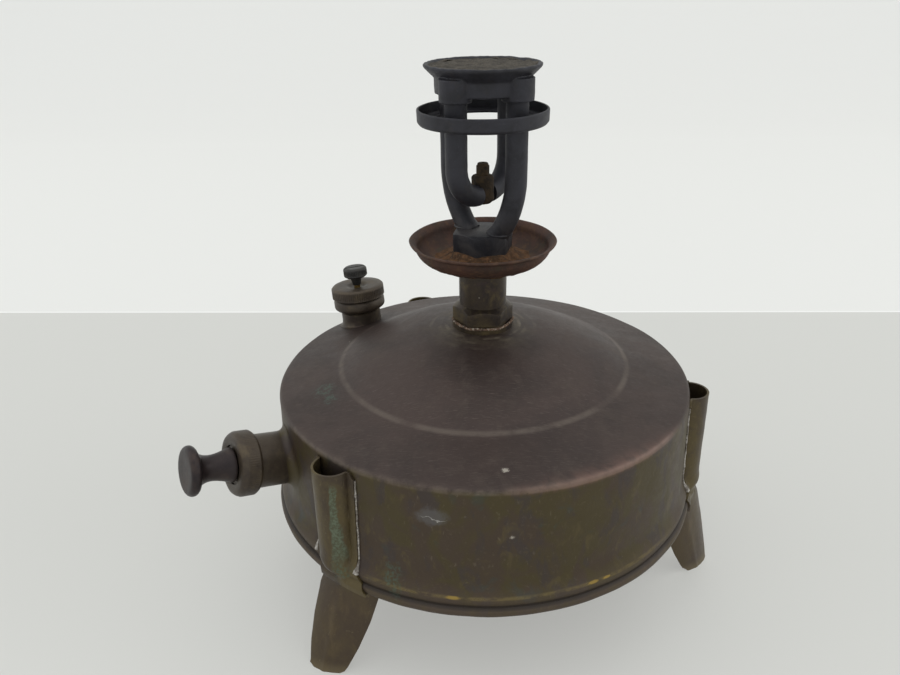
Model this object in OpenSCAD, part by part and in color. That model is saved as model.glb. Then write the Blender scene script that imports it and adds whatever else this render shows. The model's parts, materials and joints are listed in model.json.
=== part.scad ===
// Three-legged brass pressure stove with a roarer burner. Millimetres, +Z up.
// The origin is on the tank's axis, on the ground between the feet.

/* [Tank] */
// Outer radius of the tank's side wall at the shoulder
tank_r = 89; // [80:0.5:100]
// Sheet thickness of the tank
tank_wall = 0.9; // [0.7:0.1:1.2]
// Height of the tank's bottom edge above the ground
tank_lift = 43.5; // [38:0.5:50]
// Height of the side wall, from the bottom edge to the shoulder
side_h = 53.7; // [48:0.1:62]
// Radius of the crease between the sloping shoulder and the dome
crease_r = 62.1; // [58:0.1:66]
// Rise of the shoulder from its outer edge to the crease
shoulder_rise = 5.5; // [4:0.1:7]
// Radius of curvature of the dome
dome_curve_r = 115; // [100:1:130]
// How far the rolled bottom edge stands out beyond the shoulder
rim_out = 4.8; // [3:0.1:6]

/* [Legs] */
// Direction of the front left leg, in degrees from +X
first_leg_az = -128.5; // [-135:0.5:-120]
// Radius of the half-round rod socket at the top of each leg
socket_r = 6.8; // [5.5:0.1:7.2]
// Sheet thickness of the legs
leg_t = 0.9; // [0.7:0.1:1.2]
// Width of the foot plates at their widest, just under the tank
foot_top_w = 25; // [22:0.5:28]
// Width of the foot plates at the ground
foot_bottom_w = 15; // [12:0.5:18]
// Distance of the foot plates' lower edges from the tank's axis
foot_r = 103; // [98:0.5:106]

/* [Riser and burner] */
// Width across the flats of the riser's hexagon
riser_hex_af = 22.6; // [20:0.1:24]
// Outer radius of the riser
riser_r = 10; // [9:0.1:10.5]
// Length of the riser, from the bottom of its hexagon to the spirit cup
riser_h = 26; // [22:0.5:32]
// Rim radius of the spirit cup
cup_r = 30.6; // [28:0.1:33]
// Depth of the spirit cup, over its floor
cup_h = 10.5; // [8:0.1:13]
// Width across the flats of the burner's hexagon
burner_hex_af = 22.2; // [20:0.1:24]
// Outer radius of the four burner tubes
tube_r = 4.3; // [3.8:0.1:4.8]
// Distance of the upright tubes from the burner's axis
tube_place_r = 16.3; // [15.5:0.1:17]
// Rim radius of the burner's flared bell
bell_r = 22.6; // [21:0.1:24]
// Outer radius of the loose-looking ring round the tubes
ring_r = 25.8; // [25:0.1:28]

/* [Pump] */
// Direction of the pump's place on the tank wall, in degrees from +X
pump_wall_az = -155; // [-160:0.5:-150]
// Height of that place above the ground
pump_z = 76.2; // [72:0.1:80]
// Direction in which the pump points out, in degrees from +X
pump_az = -143.5; // [-150:0.5:-140]
// Upward tilt of the pump's outer end, in degrees
pump_tilt = 12.5; // [8:0.5:14]
// Outer radius of the pump barrel
barrel_r = 11; // [10.5:0.1:12]
// Length of the barrel inside the tank
barrel_in = 75; // [60:1:77]
// Distance of the pump cap's face from the wall
cap_face = 25; // [22:0.1:28]
// Outer radius of the pump cap
pump_cap_r = 13.2; // [12.6:0.1:14]
// Radius of the pump knob's disc
knob_r = 10; // [9:0.1:11]
// Length of the pump knob
knob_len = 18.5; // [16:0.5:24]

/* [Filler] */
// Direction of the filler neck, in degrees from +X
filler_az = 141.5; // [135:0.5:150]
// Distance of the filler neck from the tank's axis
filler_place_r = 77; // [74:0.5:79]
// Outward tilt of the filler neck, in degrees
filler_tilt = 6; // [0:0.5:10]
// Outer radius of the filler neck's collar
neck_r = 9.5; // [9:0.1:10]
// Radius of the filler cap's upper tier
filler_cap_r = 12.8; // [12:0.1:14]

/* [Hidden] */
$fn = 96;
gap = 0.02;                                   // joint between pieces that are soldered or screwed
slack = 0.05;                                 // radial running clearance of moving round pieces

shoulder_z = tank_lift + side_h;
rim_r = tank_r + rim_out;
crease_z = shoulder_z + shoulder_rise;
dome_top_z = crease_z + dome_curve_r - sqrt(pow(dome_curve_r, 2) - pow(crease_r, 2));
dome_centre_z = dome_top_z - dome_curve_r;
bush_flange_r = 13;
bush_top_z = dome_top_z + 1.2;
bush_depth = 11;
riser_thread_r = 8;
riser_top_z = bush_top_z + riser_h;
riser_hex_h = 8.2;
riser_turn = -14;                             // how far the riser's nut is turned from the burner's
pickup_r = 2.5;
pickup_bottom_z = tank_lift + 11;

cup_t = 1;
cup_floor_r = 15;
cup_lip_drop = 2.4;
washer_t = 1;
spigot_r = 6.4;
base_bottom_z = riser_top_z + cup_t + washer_t;
base_top_z = base_bottom_z + 12;
tube_bore_r = 2.6;
rising_bend_r = 40;
rising_bend_z = base_top_z + 24;
head_bottom_z = base_top_z + 52.6;
bell_top_z = head_bottom_z + 12.6;
flare_z = bell_top_z - 4.8;
falling_bend_r = 13;
falling_bend_z = base_top_z + 28;
jet_block_r = 4.35;
jet_block_top_z = falling_bend_z - falling_bend_r + 7.6;
jet_hex_af = 5;
tube_azimuths = [142, -38, -128, 52];         // two rising tubes, then two falling ones
ring_h = 5.7;
ring_z = head_bottom_z - 9.6;

leg_azimuths = [first_leg_az, first_leg_az + 120, first_leg_az + 240];
leg_top_z = shoulder_z - 2.5;
socket_bottom_z = tank_lift + 10;
flange_bottom_z = tank_lift + 6;
flange_half_w = 11;
foot_curve_r = 20;
// how each foot plate has been bent: its turn about the vertical, its slope outwards and its sideways lean
foot_bends = [[24, 10, -13], [-42, 3.5, 16], [0, 8, 0]];

filler_z = shoulder_z + shoulder_rise * (tank_r - filler_place_r) / (tank_r - crease_r);
neck_collar_h = 6.4;
neck_thread_r = 8.4;
neck_bore_r = 6.6;
neck_top = neck_collar_h + 8;
cap_bottom = neck_collar_h + 0.5;
cap_tier_z = cap_bottom + 6;
cap_top = cap_bottom + 11.8;
gasket_t = 1.6;
stem_r = 1.5;
screw_neck_h = 4.2;
screw_head_r = 5.7;
screw_head_h = 5;

barrel_t = 0.8;
barrel_bore_r = barrel_r - barrel_t;
barrel_mouth = cap_face - 1.8;
rod_r = 2.5;
bush_t = 4;
valve_r = 5;
valve_len = 9;
piston_s = -barrel_in + bush_t + 9.5;         // inner face of the leather when the knob is pushed home
knob_disc_t = 4.2;

// ---------- helpers ----------

// points of an arc in the plane, from one angle to another
function arc(cx, cy, r, from, to, steps = 12) =
  [for (i = [0:steps]) let (a = from + (to - from) * i / steps) [cx + r * cos(a), cy + r * sin(a)]];

// the dome's profile from its rim to its hole, for an inner or outer skin
function dome_arc(r, r_from, r_to, steps = 16) =
  [for (i = [0:steps])
    let (x = r_from + (r_to - r_from) * i / steps) [x, dome_centre_z + sqrt(r * r - x * x)]];

module tube(r_out, r_in, z0, z1) {
  translate([0, 0, z0]) difference() {
    cylinder(r = r_out, h = z1 - z0);
    translate([0, 0, -1]) cylinder(r = r_in, h = z1 - z0 + 2);
  }
}

module disc(r, z0, z1) {
  translate([0, 0, z0]) cylinder(r = r, h = z1 - z0);
}

// a hexagonal prism with its front corner at azimuth -103
module hexagon(af, z0, z1) {
  rotate([0, 0, -103]) translate([0, 0, z0]) cylinder(r = af / 2 / cos(30), h = z1 - z0, $fn = 6);
}

// +Z becomes the pump's outward direction, with z = 0 at the tank wall
module at_pump() {
  translate([tank_r * cos(pump_wall_az), tank_r * sin(pump_wall_az), pump_z])
    rotate([0, 90 - pump_tilt, pump_az]) children();
}

// +Z becomes the filler's axis, with z = 0 on the shoulder
module at_filler() {
  translate([filler_place_r * cos(filler_az), filler_place_r * sin(filler_az), filler_z])
    rotate([0, filler_tilt, filler_az]) children();
}

// ---------- tank ----------

// the side wall's outer profile from the rolled edge up to the shoulder, moved outwards by out
function side_points(out) =
  [[rim_r + out, tank_lift], [rim_r + out, tank_lift + 2.6], [rim_r - 1.5 + out, tank_lift + 3.6],
   [rim_r - 1.2 + out, tank_lift + 6], [rim_r - 1.5 + out, tank_lift + 8.2],
   [tank_r + 1.6 + out, tank_lift + 11.5], [tank_r + 1 + out, tank_lift + 17],
   [tank_r + out, shoulder_z - 3]];

// a solid with the side wall's outer shape, larger all round by out
module side_solid(out) {
  rotate_extrude() polygon(concat([[0, tank_lift - 0.1], [rim_r + out, tank_lift - 0.1]], side_points(out),
                                  [[tank_r + out, shoulder_z], [0, shoulder_z]]));
}

module tank_profile() {
  edge = 1.6;
  inner_r = dome_curve_r - tank_wall;
  slope = atan(shoulder_rise / (tank_r - crease_r));
  inside = side_points(-tank_wall);
  polygon(concat(
    side_points(0),
    arc(tank_r - edge, shoulder_z - edge, edge, 0, 90 - slope, 5),
    dome_arc(dome_curve_r, crease_r, 11),
    dome_arc(inner_r, 11, crease_r - 0.3),
    [[tank_r - edge, shoulder_z - tank_wall - 0.2], [tank_r - tank_wall, shoulder_z - edge - 0.8]],
    [for (i = [len(inside) - 1:-1:0]) inside[i]]));
}

module tank_shell() {
  color("#4a3f35") difference() {
    rotate_extrude() tank_profile();
    at_pump() translate([0, 0, -30]) cylinder(r = barrel_r + gap, h = 60);
    at_filler() translate([0, 0, -8]) cylinder(r = neck_r - 1 + gap, h = 30);
  }
}

module tank_bottom() {
  skirt_r = rim_r - 1.5 - tank_wall - gap;
  low_z = tank_lift + 0.4;
  color("#5a5038") rotate_extrude() polygon([
    [skirt_r - tank_wall, low_z], [skirt_r, low_z], [skirt_r, low_z + 1.7],
    [75, low_z + 2.7], [45, low_z + 3.7], [0, low_z + 4.2], [0, low_z + 4.2 - tank_wall],
    [45, low_z + 3.7 - tank_wall], [75, low_z + 2.7 - tank_wall], [skirt_r - tank_wall, low_z + 0.9]]);
}

module tank_bush() {
  color("#6b5f3c") difference() {
    union() {
      difference() {
        disc(bush_flange_r, dome_top_z - 4, bush_top_z);
        translate([0, 0, dome_centre_z]) sphere(r = dome_curve_r + gap);
      }
      disc(11 - gap, bush_top_z - bush_depth, bush_top_z);
    }
    disc(riser_thread_r + gap, bush_top_z - bush_depth - 1, bush_top_z + 1);
  }
}

module pickup_tube() {
  color("#7a6a3e") tube(pickup_r, 1.7, pickup_bottom_z, bush_top_z - bush_depth + 4);
}

module pickup_strainer() {
  color("#8a7a4a") difference() {
    disc(pickup_r + 1.2, pickup_bottom_z - 4, pickup_bottom_z + 4);
    disc(pickup_r + gap, pickup_bottom_z, pickup_bottom_z + 5);
    disc(1.7, pickup_bottom_z - 3, pickup_bottom_z + 5);
    for (a = [0, 90])
      rotate([0, 90, a]) translate([-pickup_bottom_z + 1.8, 0, -6]) cylinder(r = 0.7, h = 12);
  }
}

// ---------- legs ----------

// half-round rod socket, closed at its back by the tank wall
module leg_socket() {
  translate([tank_r + 0.6, 0, socket_bottom_z]) difference() {
    cylinder(r = socket_r + leg_t, h = leg_top_z - socket_bottom_z);
    translate([0, 0, -1]) cylinder(r = socket_r, h = leg_top_z - socket_bottom_z + 2);
  }
}

// the two flanges soldered to the tank wall, with a gap between them where the socket is
module leg_flanges() {
  difference() {
    intersection() {
      side_solid(leg_t + 0.05);
      translate([tank_r - 5, -flange_half_w, flange_bottom_z])
        cube([12, 2 * flange_half_w, leg_top_z - flange_bottom_z]);
    }
    translate([tank_r + 0.6, 0, socket_bottom_z]) cylinder(r = socket_r, h = leg_top_z);
  }
}

// the foot plate's outline, with its narrow end at the ground
module foot_outline() {
  half_low = foot_bottom_w / 2;
  half_top = foot_top_w / 2;
  polygon([[-half_low, -6], [half_low, -6], [half_low, 0], [half_low + 2.7, 12], [half_top - 0.6, 24],
           [half_top, 38], [half_top - 3, 49], [3 - half_top, 49], [-half_top, 38], [0.6 - half_top, 24],
           [-half_low - 2.7, 12], [-half_low, 0]]);
}

// puts a foot plate's parts in place: turned, sloping outwards and leaning to one side
module foot_place(bend) {
  translate([foot_r, 0, 0]) rotate([0, 0, bend[0]]) rotate([0, -bend[1], 0]) rotate([bend[2], 0, 0])
    children();
}

// the curved plate that stands on the ground
module foot_plate(bend) {
  difference() {
    foot_place(bend) intersection() {
      translate([-foot_curve_r, 0, -8]) difference() {
        cylinder(r = foot_curve_r, h = 60);
        translate([0, 0, -1]) cylinder(r = foot_curve_r - leg_t, h = 62);
      }
      translate([-15, 0, 0]) rotate([90, 0, 90]) linear_extrude(30) foot_outline();
    }
    translate([tank_r - 40, -40, -20]) cube([80, 80, 20]);
    disc(rim_r + 0.1, tank_lift - 0.1, tank_lift + 20);
  }
}

// the squashed stretch where the socket's sheet folds together and turns into the foot plate
module leg_pinch(bend) {
  hull() {
    translate([tank_r + 0.6, 0, socket_bottom_z]) cylinder(r = socket_r + leg_t, h = 0.5, $fn = 48);
    foot_place(bend) translate([-foot_curve_r, 0, tank_lift - 3.5]) linear_extrude(2)
      polygon(arc(0, 0, foot_curve_r - leg_t / 2, -34, 34, 8));
  }
}

module leg(i) {
  color("#554a33") rotate([0, 0, leg_azimuths[i]]) union() {
    difference() {
      union() {
        leg_socket();
        leg_flanges();
        leg_pinch(foot_bends[i]);
      }
      side_solid(0.05);
    }
    foot_plate(foot_bends[i]);
  }
}

module leg_front_left() leg(0);
module leg_right() leg(1);
module leg_back() leg(2);

// ---------- riser and spirit cup ----------

module riser() {
  hex_corner_r = riser_hex_af / 2 / cos(30);
  color("#6a5f36") rotate([0, 0, riser_turn]) difference() {
    union() {
      intersection() {
        hexagon(riser_hex_af, bush_top_z, bush_top_z + riser_hex_h);
        translate([0, 0, bush_top_z]) rotate_extrude() polygon([[0, 0], [hex_corner_r - 0.6, 0],
          [hex_corner_r, 0.5], [hex_corner_r, riser_hex_h - 2.4], [riser_r, riser_hex_h],
          [0, riser_hex_h]]);
      }
      disc(riser_r, bush_top_z, riser_top_z);
      disc(riser_thread_r, bush_top_z - bush_depth + 1, bush_top_z + 1);
    }
    disc(pickup_r + gap, bush_top_z - bush_depth - 1, bush_top_z - bush_depth + 4);
    disc(1.7, bush_top_z - bush_depth - 1, riser_top_z);
    disc(spigot_r + gap, riser_top_z - 9, riser_top_z + 1);
  }
}

module spirit_cup() {
  lip_z = riser_top_z + cup_h - cup_lip_drop;
  bowl_r = cup_r - 2.3;
  color("#4e3226") difference() {
    rotate_extrude() polygon(concat(
      [[0, riser_top_z]],
      [for (a = [-90:10:0]) [cup_floor_r + (bowl_r - cup_floor_r) * cos(a),
                             lip_z + (lip_z - riser_top_z) * sin(a)]],
      [[cup_r - 0.2, lip_z + 1.3], [cup_r, riser_top_z + cup_h], [cup_r - 0.9, riser_top_z + cup_h],
       [bowl_r - 0.9, lip_z + 0.9]],
      [for (a = [0:-10:-90]) [cup_floor_r + (bowl_r - cup_t - cup_floor_r) * cos(a),
                              lip_z + (lip_z - cup_t - riser_top_z) * sin(a)]],
      [[0, riser_top_z + cup_t]]));
    disc(spigot_r + gap, riser_top_z - 1, riser_top_z + 2);
  }
}

module burner_washer() {
  color("#6d6a63") tube(burner_hex_af / 2 - 0.6, spigot_r + gap, riser_top_z + cup_t,
                        riser_top_z + cup_t + washer_t);
}

// ---------- burner ----------

// path of a tube that stands upright and bends in towards the axis below bend_z
module tube_path(r, bend_r, bend_z, top_z) {
  translate([tube_place_r, 0, bend_z]) cylinder(r = r, h = top_z - bend_z);
  translate([tube_place_r - bend_r, 0, bend_z]) rotate([90, 0, 0])
    rotate([0, 0, -90]) rotate_extrude(angle = 90)
      translate([bend_r, 0]) circle(r = r, $fn = 48);
}

module rising_tube(az) {
  color("#26262a") rotate([0, 0, az]) difference() {
    tube_path(tube_r, rising_bend_r, rising_bend_z, head_bottom_z + 4);
    tube_path(tube_bore_r, rising_bend_r, rising_bend_z, head_bottom_z + 5);
    disc(40, base_top_z - 40, base_top_z - 2);
  }
}

module falling_tube(az) {
  color("#26262a") rotate([0, 0, az]) difference() {
    tube_path(tube_r, falling_bend_r, falling_bend_z, head_bottom_z + 4);
    tube_path(tube_bore_r, falling_bend_r, falling_bend_z, head_bottom_z + 5);
    disc(jet_block_r + gap, falling_bend_z - 30, falling_bend_z + 20);
  }
}

module rising_tube_back_left() rising_tube(tube_azimuths[0]);
module rising_tube_front_right() rising_tube(tube_azimuths[1]);
module falling_tube_front_left() falling_tube(tube_azimuths[2]);
module falling_tube_back_right() falling_tube(tube_azimuths[3]);

module burner_base() {
  hex_corner_r = burner_hex_af / 2 / cos(30);
  color("#2a2a2d") difference() {
    union() {
      intersection() {
        hexagon(burner_hex_af, base_bottom_z, base_top_z);
        translate([0, 0, base_bottom_z]) rotate_extrude() polygon([[0, 0], [hex_corner_r, 0],
          [hex_corner_r, 11.2], [hex_corner_r - 1.2, 12], [0, 12]]);
      }
      disc(spigot_r, riser_top_z - 8, base_bottom_z + 1);
    }
    disc(2, riser_top_z - 9, base_bottom_z + 5);
    for (i = [0, 1]) rotate([0, 0, tube_azimuths[i]]) {
      intersection() {
        tube_path(tube_r + gap, rising_bend_r, rising_bend_z, head_bottom_z);
        disc(40, base_top_z - 2, base_top_z + 1);
      }
      translate([0, 0, base_bottom_z + 4]) rotate([0, 90, 0]) cylinder(r = 1.6, h = 7);
      translate([7, 0, base_bottom_z + 4]) cylinder(r = 1.6, h = 7);
    }
  }
}

module jet_block() {
  bottom_z = falling_bend_z - falling_bend_r - tube_r + 0.6;
  color("#242427") difference() {
    union() {
      disc(jet_block_r, bottom_z + 1.2, jet_block_top_z);
      translate([0, 0, bottom_z]) cylinder(r1 = jet_block_r - 1.2, r2 = jet_block_r, h = 1.2);
    }
    for (i = [2, 3]) rotate([0, 0, tube_azimuths[i]])
      translate([0, 0, falling_bend_z - falling_bend_r]) rotate([0, 90, 0])
        cylinder(r = tube_bore_r, h = 6);
    disc(1.3, falling_bend_z - falling_bend_r, jet_block_top_z + 1);
  }
}

module jet_nipple() {
  color("#4a3e26") translate([0, 0, jet_block_top_z]) difference() {
    union() {
      rotate([0, 0, -103]) cylinder(r = jet_hex_af / 2 / cos(30), h = 4, $fn = 6);
      cylinder(r = jet_hex_af / 2 - 0.2, h = 4.8);
      translate([0, 0, -3]) cylinder(r = 1.3 - gap, h = 4);
    }
    translate([0, 0, -4]) cylinder(r = 0.8, h = 8);
    cylinder(r = 0.25, h = 6);
  }
}

module burner_ring() {
  ring_t = 0.9;
  color("#2b2b2e") rotate_extrude() polygon([
    [tube_place_r + tube_r + 0.1, ring_z], [ring_r - 0.8, ring_z], [ring_r, ring_z + 1],
    [ring_r, ring_z + ring_h], [ring_r - ring_t, ring_z + ring_h], [ring_r - ring_t, ring_z + 1.3],
    [ring_r - 1.2, ring_z + ring_t], [tube_place_r + tube_r + 0.1, ring_z + ring_t]]);
}

module burner_head() {
  socket_out_r = 6.15;
  body_r = 18.6;
  mixer_r = 8;
  color("#29292c") difference() {
    union() {
      rotate_extrude() polygon([
        [mixer_r, head_bottom_z + 1.7], [body_r, head_bottom_z + 1.7], [body_r, flare_z],
        [bell_r, bell_top_z - 1], [bell_r, bell_top_z], [bell_r - 1.2, bell_top_z],
        [bell_r - 3.4, flare_z + 2.2], [mixer_r + 2, flare_z + 1.4], [mixer_r, flare_z + 0.4]]);
      for (az = tube_azimuths) rotate([0, 0, az]) translate([tube_place_r, 0, 0])
        disc(socket_out_r, head_bottom_z, flare_z + 0.8);
    }
    for (az = tube_azimuths) rotate([0, 0, az]) translate([tube_place_r, 0, 0])
      disc(tube_r + gap, head_bottom_z - 1, head_bottom_z + 4);
    translate([0, 0, head_bottom_z + 3.9]) rotate_extrude()
      translate([tube_place_r - 2.6, 0]) square([4, 2.8]);
  }
}

module flame_plate() {
  plate_z = bell_top_z - 2.2;
  color("#5b554c") union() {
    translate([0, 0, plate_z]) cylinder(r = bell_r - 3.4, h = 1.4);
    for (a = [0:120:240]) rotate([0, 0, a]) translate([bell_r - 5, 0, 0])
      disc(1.2, flare_z + 2.2, plate_z + 0.5);
  }
}

// ---------- filler ----------

module filler_neck() {
  color("#4b4032") at_filler() difference() {
    union() {
      difference() {
        translate([0, 0, -4]) cylinder(r = neck_r, h = neck_collar_h + 4);
        at_shoulder_slope() translate([0, 0, -20]) cylinder(r = 40, h = 20);
      }
      disc(neck_r - 1, -6, neck_collar_h);
      disc(neck_thread_r, neck_collar_h - 1, neck_top);
    }
    disc(neck_bore_r, -7, neck_top + 1);
  }
}

// the plane of the shoulder's slope, seen from the filler's tilted frame
module at_shoulder_slope() {
  rotate([0, atan(shoulder_rise / (tank_r - crease_r)) - filler_tilt, 0]) children();
}

module filler_gasket() {
  color("#3a2f25") at_filler()
    tube(neck_thread_r, neck_bore_r - 0.6, neck_top + gap, neck_top + gasket_t);
}

module knurl(r, z0, z1, count) {
  for (i = [0:count - 1]) rotate([0, 0, i * 360 / count]) translate([r + 0.1, 0, z0 - 1])
    cylinder(r = 0.45, h = z1 - z0 + 2);
}

module filler_cap() {
  inner_r = neck_thread_r + slack;
  color("#3d342a") at_filler() difference() {
    rotate_extrude() polygon(concat(
      [[inner_r, cap_bottom], [neck_r + 0.6, cap_bottom]],
      arc(filler_cap_r - 2.1, cap_bottom + 2.2, 1.7, -75, 0, 5),
      [[filler_cap_r - 0.4, cap_tier_z - 1], [filler_cap_r - 1.2, cap_tier_z - 0.3],
       [filler_cap_r, cap_tier_z + 0.3], [filler_cap_r, cap_top - 0.8],
       [filler_cap_r - 0.8, cap_top], [4.5, cap_top], [3.2, cap_top - 0.9], [0, cap_top - 0.9],
       [0, neck_top + gasket_t + gap], [inner_r, neck_top + gasket_t + gap]]));
    knurl(filler_cap_r, cap_tier_z + 0.6, cap_top - 2, 48);
    disc(stem_r + slack, neck_top, cap_top + 1);
  }
}

module air_screw_stem() {
  color("#5a4e30") at_filler() union() {
    disc(stem_r, neck_top - 1.5, cap_top + screw_neck_h + 0.6);
    translate([0, 0, neck_top - 3]) cylinder(r1 = 0.3, r2 = stem_r, h = 1.5);
  }
}

module air_screw_head() {
  head_z = cap_top + screw_neck_h;
  color("#2c2b29") at_filler() difference() {
    union() {
      translate([0, 0, cap_top + 0.2]) cylinder(r1 = 2, r2 = 2.7, h = screw_neck_h - 0.2);
      rotate_extrude() polygon([[0, head_z], [screw_head_r - 1, head_z], [screw_head_r, head_z + 0.8],
        [screw_head_r, head_z + screw_head_h - 0.7], [screw_head_r - 0.9, head_z + screw_head_h],
        [0, head_z + screw_head_h]]);
    }
    disc(stem_r + gap, cap_top - 1, head_z + 1);
    rotate([0, 0, -31.5]) translate([-0.6, -screw_head_r - 1, head_z + screw_head_h - 0.8])
      cube([1.2, 2 * screw_head_r + 2, 2]);
  }
}

// ---------- pump ----------

module pump_barrel() {
  color("#453a2e") at_pump() tube(barrel_r, barrel_bore_r, -barrel_in, barrel_mouth);
}

module pump_cap() {
  skirt = 8.5;
  color("#373029") at_pump() difference() {
    rotate_extrude() polygon([[rod_r + slack, barrel_mouth + gap], [barrel_r + gap, barrel_mouth + gap],
      [barrel_r + gap, cap_face - skirt], [pump_cap_r - 0.8, cap_face - skirt],
      [pump_cap_r, cap_face - skirt + 0.8], [pump_cap_r, cap_face - 2.2],
      [pump_cap_r - 0.7, cap_face - 0.7], [pump_cap_r - 2.2, cap_face],
      [7.9, cap_face], [7.9, cap_face - 1], [rod_r + slack, cap_face - 1]]);
    knurl(pump_cap_r, cap_face - skirt + 1.6, cap_face - 3, 56);
  }
}

module pump_end_bush() {
  color("#6a5c38") at_pump() tube(barrel_bore_r - gap, valve_r + gap, -barrel_in, -barrel_in + bush_t);
}

module pump_knob() {
  waist_r = 4.7;
  base_r = 7;
  base_z = cap_face - 0.4;
  disc_z = base_z + knob_len + 0.4 - knob_disc_t;
  color("#332b26") at_pump() difference() {
    rotate_extrude() polygon(concat(
      [[0, base_z], [base_r, base_z], [base_r, base_z + 1.4]],
      [for (t = [0:0.125:1])
        [waist_r + (base_r - waist_r) * pow(1 - t, 2.4) + (knob_r - 2.6 - waist_r) * pow(t, 5),
         base_z + 1.4 + t * (disc_z - base_z - 1.4)]],
      arc(knob_r - knob_disc_t / 2, disc_z + knob_disc_t / 2, knob_disc_t / 2, -80, 80, 8),
      [[knob_r - knob_disc_t, disc_z + knob_disc_t], [0, disc_z + knob_disc_t - 0.3]]));
    disc(rod_r + gap, base_z - 1, base_z + 12);
  }
}

module pump_rod() {
  color("#7d6f45") at_pump() disc(rod_r, piston_s - 3.5, cap_face + 11.4);
}

module piston_plate() {
  color("#7a6b40") at_pump() tube(barrel_bore_r - 0.6, rod_r + gap, piston_s + 2 + gap, piston_s + 4);
}

module pump_leather() {
  cup_len = 6;
  color("#5c3b22") at_pump() difference() {
    disc(barrel_bore_r - slack, piston_s - cup_len + 2, piston_s + 2);
    disc(barrel_bore_r - 1.8, piston_s - cup_len + 1, piston_s);
    disc(rod_r + gap, piston_s - 1, piston_s + 3);
  }
}

module piston_nut() {
  color("#7a6b40") at_pump() difference() {
    translate([0, 0, piston_s - 3]) cylinder(r = 4.6, h = 3 - gap, $fn = 6);
    disc(rod_r + gap, piston_s - 4, piston_s + 1);
  }
}

// ---------- non-return valve at the pump's inner end ----------

valve_out = -barrel_in - valve_len;           // the valve's far end, in the tank
seat_s = -barrel_in + bush_t - 1;             // the seat that the pad closes

module valve_body() {
  color("#75683f") at_pump() difference() {
    union() {
      disc(valve_r, valve_out, -barrel_in + bush_t + 1);
      disc(valve_r + 2, -barrel_in + bush_t + gap, -barrel_in + bush_t + 2);
    }
    disc(3.6, valve_out - 1, seat_s);
    disc(1.2, valve_out, -barrel_in + bush_t + 3);
  }
}

module valve_pad() {
  color("#2f2a26") at_pump() disc(2.8, seat_s - 1.6, seat_s - gap);
}

module valve_pip() {
  color("#75683f") at_pump() union() {
    disc(3.2, seat_s - 4, seat_s - 1.6 - gap);
    disc(1.1, seat_s - 6.4, seat_s - 3.9);
  }
}

valve_cap_s = valve_out + 1;                  // inner face of the valve's cap

module valve_spring() {
  coil_r = 2.1;
  wire_r = 0.3;
  turns = 4;
  steps = 12;
  bottom = valve_cap_s + wire_r + 0.05;
  top = seat_s - 4 - wire_r - 0.05;
  color("#8a8a86") at_pump() union() {
    for (i = [0:turns]) translate([0, 0, bottom + (top - bottom) * i / turns])
      rotate_extrude() translate([coil_r, 0]) circle(r = wire_r, $fn = 16);
    for (i = [0:turns - 1]) rotate([0, 0, i * 180])
      translate([coil_r, 0, bottom + (top - bottom) * i / turns])
      cylinder(r = wire_r, h = (top - bottom) / turns);
  }
}

module valve_cap() {
  color("#75683f") at_pump() difference() {
    union() {
      disc(valve_r + 0.9, valve_out - 1.4, valve_out - gap);
      disc(3.6 - gap, valve_out - 1, valve_cap_s);
      tube(valve_r + 0.9, valve_r + gap, valve_out - 1, valve_out + 4.5);
    }
    disc(1.3, valve_out - 2, valve_cap_s + 1);
  }
}

tank_shell();
tank_bottom();
tank_bush();
leg_front_left();
leg_right();
leg_back();
pickup_tube();
pickup_strainer();
riser();
spirit_cup();
burner_washer();
burner_base();
rising_tube_back_left();
rising_tube_front_right();
falling_tube_front_left();
falling_tube_back_right();
jet_block();
jet_nipple();
burner_ring();
burner_head();
flame_plate();
filler_neck();
filler_gasket();
filler_cap();
air_screw_stem();
air_screw_head();
pump_barrel();
pump_cap();
pump_end_bush();
pump_knob();
pump_rod();
piston_plate();
pump_leather();
piston_nut();
valve_body();
valve_pip();
valve_pad();
valve_spring();
valve_cap();
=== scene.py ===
"""Looks of a three-legged brass pressure stove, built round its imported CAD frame.

Sizes of the stove are millimetres; add_mesh() turns them into Blender's metres. The floor, the lights, the
camera and the distances inside node materials are metres.
"""
import json
import math

import bpy
import bmesh
from mathutils import Matrix, Vector, noise

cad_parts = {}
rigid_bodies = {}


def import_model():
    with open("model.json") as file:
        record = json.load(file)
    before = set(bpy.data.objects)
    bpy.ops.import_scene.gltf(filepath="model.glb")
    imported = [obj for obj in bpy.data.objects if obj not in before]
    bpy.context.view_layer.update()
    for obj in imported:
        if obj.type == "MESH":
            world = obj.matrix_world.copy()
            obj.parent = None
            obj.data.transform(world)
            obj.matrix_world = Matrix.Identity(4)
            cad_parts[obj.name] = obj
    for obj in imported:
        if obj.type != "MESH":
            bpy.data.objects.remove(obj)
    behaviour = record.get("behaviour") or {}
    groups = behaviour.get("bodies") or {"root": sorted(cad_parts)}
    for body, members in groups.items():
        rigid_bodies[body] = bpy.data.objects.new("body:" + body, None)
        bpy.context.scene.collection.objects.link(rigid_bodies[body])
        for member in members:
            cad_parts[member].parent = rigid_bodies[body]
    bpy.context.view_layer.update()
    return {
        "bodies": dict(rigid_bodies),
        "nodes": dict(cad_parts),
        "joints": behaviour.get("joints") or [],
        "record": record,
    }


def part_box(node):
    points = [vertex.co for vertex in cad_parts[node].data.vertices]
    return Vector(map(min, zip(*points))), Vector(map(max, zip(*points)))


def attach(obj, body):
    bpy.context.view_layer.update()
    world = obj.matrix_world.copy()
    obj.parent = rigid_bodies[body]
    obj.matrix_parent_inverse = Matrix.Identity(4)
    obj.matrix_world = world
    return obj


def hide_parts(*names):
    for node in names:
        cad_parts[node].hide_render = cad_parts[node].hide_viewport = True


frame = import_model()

MM = 0.001

# ---------- driving dimensions, in millimetres and degrees ----------

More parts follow.
